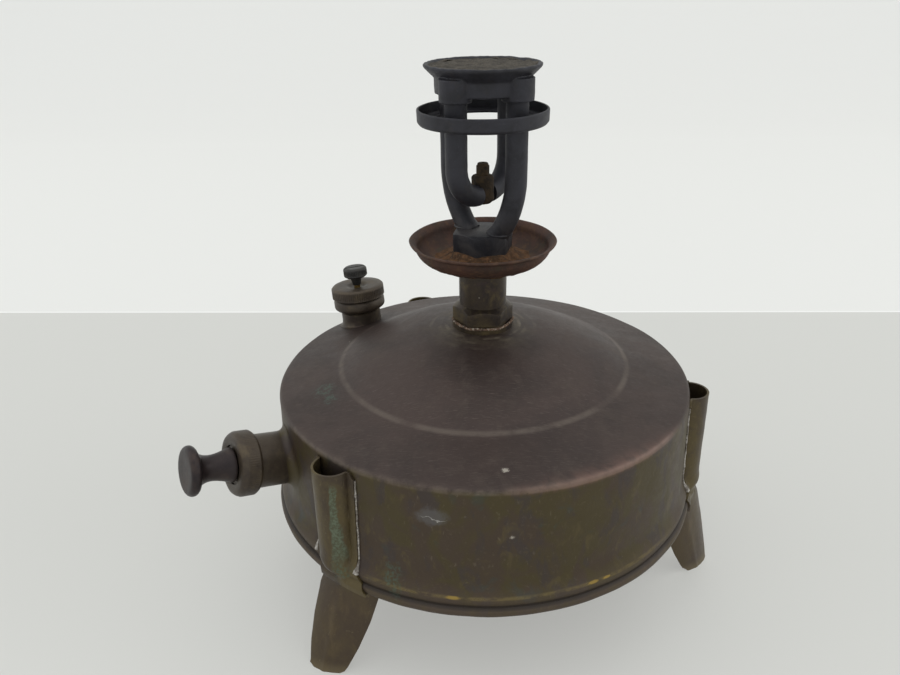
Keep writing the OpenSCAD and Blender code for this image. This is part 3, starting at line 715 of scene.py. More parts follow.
def soot_material():
    """Blue-black sooted casting with a faint blue sheen and brown heat marks."""
    f = Finish("sooted_casting")
    clouds = f.noise(10, 5, 0.6, 0.5, 51.0)
    fine = f.noise(1.0, 6, 0.7, 0, 52.0)
    colour = f.mix(f.band(clouds, 0.36, 0.64), "1f1e22", "2b2a30")
    colour = f.over(colour, "302b2a", 0.6, f.band(f.noise(6, 5, 0.65, 0.4, 53.0), 0.54, 0.72))
    colour = f.over(colour, "45434a", 0.35, f.band(fine, 0.52, 0.74))
    colour = f.over(colour, "6b645d", 0.35, f.flecks(3.2, 0.30, 0.12, 11.0))
    dusty = f.times(f.band(f.z, 0.176, 0.160), f.band(clouds, 0.40, 0.62), 0.5)
    colour = f.mix(dusty, colour, "4a4540")
    shine = f.math("ADD", f.times(f.math("SUBTRACT", fine, 0.5), 0.35), 0.56)
    f.bumped(f.math("ADD", f.times(fine, 0.6), f.times(clouds, 0.4)), 0.12)
    return f.finish(colour, shine, 0.25, 0.45)


def cup_material():
    """Heat-stained, rusty dark brown steel with orange and olive tints."""
    f = Finish("stained_cup")
    clouds = f.noise(13, 5, 0.6, 0.7, 61.0)
    blotch = f.noise(4.5, 6, 0.68, 0.4, 62.0)
    fine = f.noise(0.8, 6, 0.75, 0, 63.0)
    r = f.radius()
    colour = f.mix(f.band(clouds, 0.36, 0.62), "38271f", "4a3025")
    colour = f.over(colour, "59402c", 0.7, f.band(blotch, 0.50, 0.66))
    colour = f.over(colour, "3c3626", 0.6, f.band(f.noise(7, 4, 0.6, 0.6, 64.0), 0.56, 0.70))
    colour = f.over(colour, "7d5336", 0.45, f.band(fine, 0.54, 0.74))
    inner = f.times(f.band(r, 0.024, 0.014), f.band(f.z, 0.1485, 0.1500))
    colour = f.over(colour, "7a6346", 0.7, inner, f.band(blotch, 0.38, 0.62))
    colour = f.over(colour, "1a1210", 0.6, f.band(fine, 0.44, 0.28))
    rim = f.times(f.band(r, 0.0293, 0.0303), f.band(blotch, 0.40, 0.60))
    colour = f.over(colour, "60483a", 0.5, rim)
    shine = f.math("ADD", f.times(f.math("SUBTRACT", blotch, 0.5), 0.3), 0.66)
    f.bumped(f.math("ADD", f.times(fine, 0.6), f.times(blotch, 0.4)), 0.16)
    return f.finish(colour, shine, 0.25, 0.4)


def plain_metal(name, dark, light, roughness, metallic=0.85, stretch=(1, 1, 1)):
    """Cleaner metal of the inner parts: brushed tones, a fine bump and a few dark spots."""
    f = Finish(name)
    brushed = f.noise(2.4, 5, 0.6, 0.2, 71.0, stretch)
    fine = f.noise(0.7, 5, 0.7, 0, 72.0)
    colour = f.mix(f.band(brushed, 0.35, 0.65), dark, light)
    colour = f.over(colour, "2c2519", 0.6, f.band(fine, 0.42, 0.28))
    shine = f.math("ADD", f.times(f.math("SUBTRACT", brushed, 0.5), 0.3), roughness)
    f.bumped(fine, 0.04)
    return f.finish(colour, shine, metallic)


def soft_material(name, dark, light, grain, roughness=0.8):
    """Leather, rubber or lead: mottled and dull, with a visible grain."""
    f = Finish(name)
    cells = f.node("ShaderNodeTexVoronoi", Vector=f.scaled((1 / (grain * MM),) * 3), Scale=1.0)
    cloud = f.noise(5, 4, 0.6, 0, 81.0)
    colour = f.mix(f.band(cloud, 0.35, 0.65), dark, light)
    colour = f.over(colour, dark, 0.4, f.band(cells.outputs["Distance"], 0.35, 0.75))
    f.bumped(cells.outputs["Distance"], 0.10)
    return f.finish(colour, roughness, 0.0, 0.3)


TANK = tank_material()
LEG = leg_material("leg_patina", False)
LEG_GREEN = leg_material("leg_patina_green", True)
SOLDER = solder_material()
SOOT = soot_material()
CUP = cup_material()
RISER = patina("riser_patina", "2f2723", "453a2a", "5f5236", "3d2f30", 0.6, 0.40, 1.6, 0.08, 0.10)
BRONZE = patina("dark_bronze", "352c25", "443a2f", "5b4f3c", "3c2e2a", 0.5, 0.44, 1.4, 0.10, 0.10, "6e5f45")
KNOB = patina("knob_bronze", "241c1d", "2c2322", "41352f", "20191b", 0.5, 0.44, 1.4, 0.08, 0.06, "574a41")
SCREW = patina("screw_bronze", "232221", "2e2c2a", "454139", "272424", 0.45, 0.42, 1.2, 0.08, 0.04, "565044")
JET = crust_material("sooted_jet", "2a2219", "3f3222", "5c4a30", 0.25, 0.58)
PLATE = crust_material("encrusted_plate", "37322c", "4c463d", "7a7164", 0.55, 0.56)
RESIDUE = crust_material("cup_residue", "43301f", "6a4a30", "b8a88e", 0.45, 0.60)
SEAM_CRUST = crust_material("seam_crust", "3f3128", "6b5443", "c4baaa", 0.35, 0.52)
BRASS = plain_metal("inner_brass", "7c6534", "a68a4c", 0.36)
ROD = plain_metal("rod_brass", "6d5a32", "a18751", 0.30, 0.9, (3, 1, 1))
STEEL = plain_metal("spring_steel", "6f6f6c", "9c9c98", 0.32)
LEAD = soft_material("lead_washer", "55534f", "6f6c66", 1.2, 0.6)
LEATHER = soft_material("pump_leather", "3c2413", "5e3b20", 0.7)
GASKET = soft_material("gasket_leather", "241a13", "3a2b1f", 0.6)
RUBBER = soft_material("valve_rubber", "1a1816", "2b2825", 0.9)

NODE_FINISHES = {
    "tank_bottom": TANK, "tank_bush": RISER, "pickup_tube": BRASS, "pickup_strainer": BRASS,
    "burner_washer": LEAD, "filler_gasket": GASKET, "air_screw_stem": ROD, "pump_end_bush": BRASS,
    "pump_rod": ROD, "piston_plate": BRASS, "pump_leather": LEATHER, "piston_nut": BRASS,
    "valve_body": BRASS, "valve_pip": BRASS, "valve_pad": RUBBER, "valve_spring": STEEL, "valve_cap": BRASS,
}


def finish_cad_nodes():
    """Give every CAD node a procedural material in its own slots; replaced ones too."""
    for name, node in frame["nodes"].items():
        material = NODE_FINISHES.get(name, BRONZE)
        if not node.data.materials:
            node.data.materials.append(material)
        for i in range(len(node.material_slots)):
            node.material_slots[i].material = material


# ---------- tank ----------


SIDE = at(RIM_R, LIFT, (0, 1.2), (0, 2.0), (-0.45, 2.9), (-1.55, 3.5), (-1.65, 4.3), (-1.3, 5.2),
          (-1.25, 6.6), (-1.6, 7.7), (-2.3, 9.0))
SIDE += at(TANK_R, LIFT, (1.7, 10.8), (1.15, 12.8), (0.9, 16)) + [(TANK_R, SHOULDER_Z - 3.2)]


def side_r(z):
    """Radius of the tank's side at height z: rolled edge, groove, band, then the nearly upright wall."""
    for (r_low, z_low), (r_high, z_high) in zip(SIDE, SIDE[1:]):
        if z <= z_high:
            return lerp(r_low, r_high, clamp01((z - z_low) / (z_high - z_low)))
    return TANK_R


def tank_outline():
    """The outer skin from the bottom edge up to the hole under the bush, then back down inside."""
    bead = at(RIM_R, LIFT, (-1.6, 0.5), (-0.9, 0), (-0.25, 0.4)) + SIDE[:-1]
    wall = refined([SIDE[-2], SIDE[-1]], 2.2)[1:]
    edge_r = 2.2
    edge = []
    for k in range(1, 9):
        a = (math.pi / 2 - SHOULDER_SLOPE) * k / 8
        edge.append((TANK_R - edge_r * (1 - math.cos(a)), SHOULDER_Z - 2.4 + edge_r * math.sin(a)))
    slope = refined([edge[-1], (CREASE_R + 2.2, CREASE_Z - 0.45)], 2.0)[1:]
    crease = at(CREASE_R, CREASE_Z, (1.2, -0.12), (0.3, 0.22), (-0.8, 0.75))
    dome = []
    steps = 26
    for k in range(1, steps + 1):
        r = lerp(CREASE_R - 1.2, 12.0, k / steps)
        dome.append((r, DOME_TOP - DOME_CURVE + math.sqrt(DOME_CURVE ** 2 - r * r)))
    outer = bead + wall + edge + slope + crease + dome
    inner = [(r - 0.2, z - 1.0) for r, z in reversed(dome[::3])]
    inner += [(CREASE_R, CREASE_Z - 1.2)] + at(TANK_R, SHOULDER_Z, (-3.5, -1.8), (-1.0, -4.0))
    inner += [(TANK_R - 0.1, LIFT + 14)] + at(RIM_R, LIFT, (-2.45, 7.5), (-2.3, 1.0))
    return outer + inner


def tank_shape(a, r, z):
    """Small dents and waves that a thin sheet picks up."""
    x, y = around(a, r)
    on_wall = ease((SHOULDER_Z - z) / 6) * ease((z - LIFT - 12) / 8)
    on_top = ease((z - SHOULDER_Z + 1) / 3) * ease((r - 18) / 10)
    dr = on_wall * (0.28 * lump(x, y, z, 34, 1) + 0.10 * lump(x, y, z, 12, 2))
    dz = on_top * (0.30 * lump(x, y, 0, 40, 3) + 0.09 * lump(x, y, 0, 13, 4))
    edge = ease(1 - abs(z - SHOULDER_Z) / 4)
    dz += 0.22 * edge * lump(x, y, 0, 16, 5)
    rim = ease((LIFT + 7 - z) / 4)
    dr += 0.14 * rim * lump(x, y, 0, 11, 6)
    dz += 0.10 * rim * lump(x, y, 0, 8, 7)
    return min(r + dr, RIM_R - 0.05), z + dz


def drill(radius, z_low, z_high):
    """A closed cylinder on +Z, to cut a round hole with."""
    return lathe([(0.0, z_low), (radius, z_low), (radius, z_high), (0.0, z_high)], 96, closed=False)


def build_tank():
    """The skin with the holes for the pump's barrel and the filler's neck."""
    skin = lathe(tank_outline(), 256, tank_shape)
    skin = bored(skin, moved(drill(BARREL_R + 0.05, -30, 12), PUMP))
    skin = bored(skin, moved(drill(NECK_R - 0.9, -8, 5), FILLER))
    add_mesh("tank_skin", skin, TANK, replaces=["tank_shell"], angle=50)


# ---------- legs ----------

CHANNEL_R = 7.7
CHANNEL_X = TANK_R + 0.6
FLANGE_W = 3.3
PINCH_TOP = LIFT + 11
PINCH_LOW = LIFT - 2.5
FOOT_CURVE = 20.0
FOOT_R = 102.95
FOOT_BEND = {"front_left": (24, 10, -13), "right": (-42, 3.5, 16), "back": (0, 8, 0)}


def foot_frame(side):
    """The turned, sloping and leaning frame of one foot plate; its origin is on the ground."""
    turn, slope, lean = (math.radians(a) for a in FOOT_BEND[side])
    bent = Matrix.Rotation(turn, 4, "Z") @ Matrix.Rotation(-slope, 4, "Y") @ Matrix.Rotation(lean, 4, "X")
    return Matrix.Translation((FOOT_R, 0, 0)) @ bent


def foot_half_width(z):
    """Half the width of a foot plate, which narrows towards the ground."""
    steps = [(0, 7.5), (12, 10.2), (24, 11.9), (38, 12.5), (50, 10.5)]
    for (z_low, low), (z_high, high) in zip(steps, steps[1:]):
        if z <= z_high:
            return lerp(low, high, (z - z_low) / (z_high - z_low))
    return steps[-1][1]


def leg_upper(s, z):
    """Point of the half-round socket with its flanges; s runs from -1 to 1 across the sheet."""
    side = 1 if s > 0 else -1
    if abs(s) < 0.68:
        phi = s / 0.68 * math.pi / 2
        return CHANNEL_X + CHANNEL_R * math.cos(phi), CHANNEL_R * math.sin(phi)
    y = side * (CHANNEL_R + (abs(s) - 0.68) / 0.32 * FLANGE_W)
    return math.sqrt((side_r(z) + SHEET + 0.1) ** 2 - y * y), y


def leg_lower(s, z, frame):
    """Point of the curved foot plate at height z."""
    y = foot_half_width(z) * s
    flat = Vector((math.sqrt(FOOT_CURVE ** 2 - y * y) - FOOT_CURVE, y, 0))
    flat.z = (z - (frame @ flat).z) / frame[2][2]
    place = frame @ flat
    return place.x, place.y


def leg_point(s, z, seed, frame):
    """The outer face of the pressed leg at height z."""
    t = ease((PINCH_TOP - z) / (PINCH_TOP - PINCH_LOW))
    ux, uy = leg_upper(s, z)
    lx, ly = leg_lower(s, z, frame)
    x, y = lerp(ux, lx, t), lerp(uy, ly, t)
    fold = math.exp(-((z - LIFT - 4.5 - 3.0 * s) / 2.2) ** 2)
    fold -= 0.6 * math.exp(-((z - LIFT - 0.5 - 3.0 * s) / 2.4) ** 2)
    x += 2.4 * math.exp(-((z - LIFT - 5) / 4.2) ** 2) * math.exp(-((s - 0.15) / 0.6) ** 2)
    x -= 0.9 * fold * math.exp(-(s / 0.6) ** 2)
    ridge = math.exp(-((s + 0.12) / 0.16) ** 2) * ease((LIFT - 4 - z) / 8)
    x += 0.35 * ridge + 0.16 * lump(s * 12, z, seed * 30, 9, seed) + 0.06 * lump(s * 12, z, seed, 3, seed)
    keep_out = side_r(z) + SHEET + 0.1
    reach = math.hypot(x, y)
    if z > LIFT - 1 and reach < keep_out:
        scale = keep_out / reach
        x, y = x * scale, y * scale
    return x, y


def leg_sheet(seed, frame):
    """One pressed leg as a closed sheet of even thickness, in the leg's own frame (+X outwards)."""
    columns = [math.sin(math.pi / 2 * k / 28) * 0.35 + k / 28 * 0.65 for k in range(-28, 29)]
    heights = [LEG_TOP - 0.3]
    while heights[-1] > 0:
        fine = PINCH_LOW - 4 < heights[-1] < PINCH_TOP + 2
        heights.append(max(0.0, heights[-1] - (0.9 if fine else 1.9)))
    outer = []
    for z in heights:
        row = []
        for s in columns:
            x, y = leg_point(s, z, seed, frame)
            trim = ease((abs(s) - 0.80) / 0.2)
            zz = z - trim * 2.2 * ease((z - LEG_TOP + 4) / 4)
            corner = ease((abs(s) - 0.72) / 0.28) * (1.7 if s < 0 else 0.8)
            zz += corner * ease((3.2 - z) / 3.2)
            row.append(Vector((x, y, zz)))
        outer.append(row)
    rows, cols = len(outer), len(columns)
    inner = []
    for i in range(rows):
        row = []
        for j in range(cols):
            down = outer[min(i + 1, rows - 1)][j] - outer[max(i - 1, 0)][j]
            across = outer[i][min(j + 1, cols - 1)] - outer[i][max(j - 1, 0)]
            normal = down.cross(across).normalized()
            if normal.x < 0:
                normal = -normal
            normal.z = 0 if i in (0, rows - 1) else normal.z
            row.append(outer[i][j] - normal.normalized() * SHEET)
        inner.append(row)
    verts = [tuple(p) for grid in (outer, inner) for row in grid for p in row]
    back = rows * cols
    faces = []
    for i in range(rows - 1):
        for j in range(cols - 1):
            a, b, c, d = i * cols + j, i * cols + j + 1, (i + 1) * cols + j + 1, (i + 1) * cols + j
            faces += [(a, b, c, d), (back + a, back + d, back + c, back + b)]
    edge = [j for j in range(cols)] + [i * cols + cols - 1 for i in range(1, rows)]
    edge += [(rows - 1) * cols + j for j in range(cols - 2, -1, -1)]
    edge += [i * cols for i in range(rows - 2, 0, -1)]
    for a, b in zip(edge, edge[1:] + edge[:1]):
        faces.append((a, b, back + b, back + a))
    return verts, faces


def solder_line(side, seed):
    """The bead of solder along one flange of a leg."""
    path = []
    for k in range(44):
        z = lerp(LEG_TOP - 3.0, LIFT + 7.0, k / 43)
        y = side * (CHANNEL_R + FLANGE_W + 0.15 + 0.25 * lump(z, seed, 0, 6, seed))
        r = side_r(z) + 0.25
        path.append(Vector((math.sqrt(r * r - y * y), y, z)))

    def thickness(t, a):
        return 0.30 + 0.34 * abs(lump(t * 60, *around(a, 1), 5, seed)) + 0.8 * ease((t - 0.88) / 0.12)

    return sweep(path, thickness, 10)


def build_legs():
    for seed, (side, azimuth) in enumerate(LEG_AZ.items()):
        turn = Matrix.Rotation(math.radians(azimuth), 4, "Z")
        material = LEG_GREEN if side == "front_left" else LEG
        sheet = leg_sheet(seed + 1, foot_frame(side))
        add_mesh("leg_sheet_" + side, sheet, material, replaces=["leg_" + side], place=turn, angle=60)
        beads = joined(solder_line(1, seed + 5), solder_line(-1, seed + 9))
        add_mesh("leg_solder_" + side, beads, SOLDER, place=turn)


# ---------- riser, cup and burner base ----------


def build_riser():
    """The stem with its lower hexagon and thread, and the crust round the hexagon's foot."""
    neck = 10.0
    across = 22.6
    crust_r = 12.8
    nut = hexagon_lathe(across, BUSH_TOP, BUSH_TOP + 8.2, neck, 2.0, corner_az=NUT_AZ)
    profile = softened(refined([(neck * 0.6, BUSH_TOP + 4), (neck, BUSH_TOP + 4), (neck, RISER_TOP),
                                (neck * 0.6, RISER_TOP)], 3), 0.15)
    stem = lathe(profile, 96, lambda a, r, z: (r + 0.05 * lump(*around(a, r), z, 7, 3), z))
    thread = lathe(softened(at(0, BUSH_TOP, (3.0, -8), (7.9, -8), (7.9, 1), (3.0, 1)), 0.3), 64)
    add_mesh("riser_body", joined(nut, stem, thread), RISER, replaces=["riser"], angle=28)
    crust = []
    for k in range(73):
        a = math.radians(k * 5)
        r = lerp(hex_radius(a, across, crust_r, NUT_AZ), crust_r, 0.6)
        crust.append(Vector((*around(a, r), BUSH_TOP + 0.25)))
    bead = sweep(crust[:-1], lambda t, a: 0.45 + 0.5 * abs(rough(t * 90, *around(a, 1), 4, 2)), 10,
                 closed=True)
    add_mesh("riser_seam_crust", bead, SEAM_CRUST, angle=80)


def bowl_curve(floor_r, edge_r, lip_z, depth):
    """A quarter of an ellipse, from the edge of the cup's floor up to its lip."""
    angles = [math.radians(-90 + 90 * k / 12) for k in range(13)]
    return [(floor_r + (edge_r - floor_r) * math.cos(a), lip_z + depth * math.sin(a)) for a in angles]


def cup_outline():
    """The bowl's outer face, its rolled lip and its inner face."""
    floor_r = 15.0
    lip_z = CUP_TOP - 2.4
    bowl_r = CUP_R - 2.3
    outer = [(6.6, RISER_TOP), (floor_r * 0.6, RISER_TOP)]
    outer += bowl_curve(floor_r, bowl_r, lip_z, lip_z - RISER_TOP)
    outer += [(bowl_r + 0.15, lip_z + 0.45)] + at(CUP_R, lip_z, (-0.9, 1.0), (-0.15, 1.5), (0, 2.0))
    outer += at(CUP_R, CUP_TOP, (-0.25, 0), (-0.9, -0.1)) + [(bowl_r - 0.4, lip_z + 0.9)]
    outer += bowl_curve(floor_r, bowl_r - 1, lip_z, lip_z - 1 - RISER_TOP)[::-1]
    outer += [(floor_r * 0.6, RISER_TOP + 1), (6.6, RISER_TOP + 1)]
    return outer


def cup_shape(a, r, z):
    """A slightly bent rim and hand-worn bowl."""
    x, y = around(a, r)
    out = ease((r - 14) / 12)
    sag = out * (0.30 + 0.30 * lump(x, y, 0, 18, 9))
    return r + out * 0.28 * lump(x, y, 0, 14, 8) - 0.28 * out, z - sag


def residue_shape(a, r, z):
    """Heaped, granular residue that thins out towards its edge."""
    x, y = around(a, r)
    lift = 0.55 * rough(x, y, 0, 4.5, 4, 4) * ease((r - 11.4) / 1.5)
    return r + 0.9 * lump(x, y, 3, 6, 5) * ease((r - 13) / 4), z + lift


def build_cup():
    """The bowl, and the residue heaped in it round the burner."""
    add_mesh("cup_bowl", lathe(cup_outline(), 160, cup_shape), CUP, replaces=["spirit_cup"], angle=50)
    floor = RISER_TOP + 0.75
    profile = refined(at(0, floor, (10.6, 0), (10.6, 5.6), (12.6, 5.3), (14.5, 3.2), (17.5, 1.6),
                         (21.0, 0.55), (22.0, 0)), 0.7)
    add_mesh("cup_residue", lathe(profile, 140, residue_shape), RESIDUE, angle=80)


def tube_points(azimuth, bend_r, bend_z, low_z, top_z):
    """Centre line of a tube: upright above bend_z, on an arc towards the axis below it."""
    points = []
    height = top_z
    while height > bend_z:
        points.append(polar(TUBE_PLACE_R, azimuth, height))
        height -= 1.6
    turn = 0.0
    while True:
        z = bend_z - bend_r * math.sin(turn)
        r = TUBE_PLACE_R - bend_r * (1 - math.cos(turn))
        points.append(polar(1, azimuth) * r + Vector((0, 0, z)))
        turn += math.radians(1.5) if bend_r > 20 else math.radians(4)
        if z <= low_z or turn > math.pi / 2 + 1e-6:
            return points


def cast_tube(azimuth, bend_r, bend_z, low_z, top_z, seed, foot=0.0):
    """A tube with the faint unevenness of a casting; foot widens its lower end."""
    path = tube_points(azimuth, bend_r, bend_z, low_z, top_z)

    def radius(t, a):
        spread = foot * ease((t - 0.86) / 0.14) ** 2
        return TUBE_R + spread + 0.07 * lump(t * 70, *around(a, 3), 4, seed) - 0.02

    return sweep(path, radius, 32)


RISING_BEND_Z = BASE_TOP + 24
FALLING_BEND_Z = BASE_TOP + 28
FALLING_BEND_R = 13.0


def build_burner_base():
    """The hexagon with its spigot, and the two rising and two falling tubes."""
    spigot = lathe(softened([(2.0, RISER_TOP - 7.5), (6.3, RISER_TOP - 7.5), (6.3, BASE_BOTTOM + 1),
                             (2.0, BASE_BOTTOM + 1)], 0.3), 64)
    nut = hexagon_lathe(22.2, BASE_BOTTOM, BASE_TOP, 10.4, 0.9)
    crown = at(0, BASE_TOP, (0, -2), (10.8, -2), (10.8, -0.1), (4.0, 0.25), (0, 0.3))
    crown = lathe(softened(crown, 0.3, closed=False), 64, closed=False)
    add_mesh("base_hexagon", joined(nut, spigot, crown), SOOT, replaces=["burner_base"], angle=28)
    for side in ("back_left", "front_right"):
        tube = cast_tube(TUBE_AZ[side], 40.0, RISING_BEND_Z, BASE_TOP - 1.5, HEAD_BOTTOM + 3, len(side),
                         0.35)
        add_mesh("tube_" + side, tube, SOOT, replaces=["rising_tube_" + side], angle=60)
        foot = polar(8.6, TUBE_AZ[side], BASE_TOP + 0.1)
        ring = []
        for k in range(40):
            a = 2 * math.pi * k / 40
            ring.append(foot + Vector((math.cos(a), math.sin(a), 0)) * (TUBE_R + 0.25))
        bead = sweep(ring, lambda t, a: 0.55 + 0.3 * lump(t * 40, *around(a, 1), 5, 6), 10,
                     closed=True)
        add_mesh("braze_" + side, bead, SOOT, angle=80)
    for side in ("front_left", "back_right"):
        tube = cast_tube(TUBE_AZ[side], FALLING_BEND_R, FALLING_BEND_Z, 0, HEAD_BOTTOM + 3, len(side) + 3)
        add_mesh("tube_" + side, tube, SOOT, replaces=["falling_tube_" + side], angle=60)


def build_jet():
    """The block between the falling tubes, and the small hexagonal jet on top of it."""
    low = FALLING_BEND_Z - FALLING_BEND_R - TUBE_R + 0.5
    profile = at(0, low, (0, 0), (3.2, 0), (4.5, 1.6)) + at(0, JET_TOP, (4.4, -1.2), (3.6, 0), (0, 0))
    profile = refined(softened(profile, 0.6, closed=False), 0.6)
    block = lathe(profile, 72, lambda a, r, z: (
        r + (0.35 * rough(*around(a, r), z, 3.2, 6, 4) if r > 1 else 0), z), closed=False)
    add_mesh("jet_block_body", block, JET, replaces=["jet_block"], angle=70)
    across = 5.0
    nut = hexagon_lathe(across, JET_TOP - 0.6, JET_TOP + 4.0, 2.2, 0.35, 0.1)
    tip = at(0, JET_TOP, (0.3, 2.0), (2.25, 2.0), (2.2, 4.5), (1.9, 4.8), (0.6, 4.8), (0.3, 4.2))
    tip = lathe(softened(tip, 0.12), 40)
    add_mesh("jet_nipple_body", joined(nut, tip), JET, replaces=["jet_nipple"], angle=30)


def build_ring():
    """The dished ring round the four tubes."""
    wall = 0.95
    inner_r = TUBE_PLACE_R + TUBE_R + 0.1
    profile = [(inner_r, RING_LOW + 0.1)] + at(RING_R, RING_LOW, (-0.9, 0), (-0.1, 1.0))
    profile += at(RING_R, RING_TOP, (0, -0.4), (-0.3, 0), (-wall, 0))
    profile += at(RING_R, RING_LOW, (-wall, 1.6), (-1.5, wall)) + [(inner_r, RING_LOW + wall)]
    profile = softened(refined(profile, 1.2), 0.25)

    def shape(a, r, z):
        x, y = around(a, r)
        return r - 0.14 + 0.14 * lump(x, y, z, 9, 7), z + 0.13 * lump(x, y, 0, 11, 8) - 0.05

    add_mesh("ring_band", lathe(profile, 180, shape), SOOT, replaces=["burner_ring"], angle=45)


def build_head():
    """The casting with four sockets for the tubes and the flared bell above them."""
    flare_z = BELL_TOP - 4.8
    profile = [(8.0, HEAD_BOTTOM + 1.7), (18.3, HEAD_BOTTOM + 1.7), (18.3, flare_z - 0.6)]
    profile += at(BELL_R, BELL_TOP, (-0.5, -1.6), (0, -0.8), (-0.2, -0.1), (-1.5, -0.1))
    profile += [(BELL_R - 3.4, flare_z + 2.2), (10.0, flare_z + 1.2), (8.0, flare_z + 0.2)]
    parts = [lathe(softened(profile, 0.5), 128)]
    for azimuth in TUBE_AZ.values():
        socket = at(0, HEAD_BOTTOM, (0, 0), (6.2, 0), (6.3, 3)) + at(0, flare_z, (6.3, 0.6), (0, 0.6))
        socket = lathe(socket, 48, closed=False)
        parts.append(moved(socket, Matrix.Translation(polar(TUBE_PLACE_R, azimuth))))
    casting = voxelled(joined(*parts), 0.34, 3)
    casting = pushed(casting, lambda x, y, z: 0.11 * rough(x, y, z, 5, 9, 3)
                     - 0.35 * ease((z - BELL_TOP + 1.0) / 1.0) * abs(lump(x, y, z, 4, 10)))
    add_mesh("head_casting", casting, SOOT, replaces=["burner_head"], angle=70)


def plate_shape(a, r, z):
    """A crusted top face, slightly dished towards the middle."""
    x, y = around(a, r)
    top = ease((z - BELL_TOP + 2.0) / 0.6)
    crust = 0.42 * rough(x, y, 0, 8, 11, 5) + 0.16 * lump(x, y, 0, 1.6, 12)
    bowl = -0.25 * (1 - (r / 20) ** 2)
    return r, min(z + top * (crust + bowl), BELL_TOP - 0.15)


def build_plate():
    """The flame plate on its three pegs, and the scale round the bell's edge."""
    low, high = BELL_TOP - 2.2, BELL_TOP - 0.95
    profile = refined([(0.0, low), (19.6, low)], 2.5) + [(20.0, low + 0.5)]
    profile += [(20.0, high - 0.2)] + refined([(19.5, high), (0.0, high)], 0.5)
    plate = lathe(profile, 150, plate_shape, closed=False)
    pegs = []
    for azimuth in (0, 120, 240):
        peg = at(0, low, (0, -1.3), (1.1, -1.3), (1.2, 0.4), (0, 0.4))
        peg = lathe(softened(peg, 0.2, closed=False), 20, closed=False)
        pegs.append(moved(peg, Matrix.Translation(polar(BELL_R - 5, azimuth))))
    add_mesh("plate_disc", joined(plate, *pegs), PLATE, replaces=["flame_plate"], angle=80)
    scale = refined([(19.6, low + 0.5), (21.6, low + 1.3), (21.3, high + 0.4), (19.2, high)], 0.5)

    def flaky(a, r, z):
        x, y = around(a, r)
        return r + 0.5 * lump(x, y, 2, 5, 13), min(z + 0.5 * rough(x, y, 0, 5, 14, 4), BELL_TOP - 0.1)

    add_mesh("bell_scale", lathe(scale, 150, flaky), PLATE, angle=80)


# ---------- filler ----------

NECK_R = 9.5
NECK_H = 6.4
THREAD_R = 8.4
NECK_TOP = NECK_H + 8
CAP_LOW = NECK_H + 0.5
CAP_TIER = CAP_LOW + 6
CAP_TOP = CAP_LOW + 11.8
CAP_R = 12.8
SCREW_NECK = 4.2
SCREW_R = 5.7
SCREW_H = 5.0
THREAD_PITCH = 1.5


def knurled(teeth, depth, z_low, z_high, r_low):
    """A shape() that cuts upright V grooves into the rows between z_low and z_high outside r_low."""
    def shape(a, r, z):
        if r < r_low or z < z_low or z > z_high:
            return r, z
        wave = abs((a * teeth / (2 * math.pi)) % 1.0 - 0.5) * 2
        fade = ease((z - z_low) / 0.5) * ease((z_high - z) / 0.5)
        return r - depth * wave * fade, z
    return shape


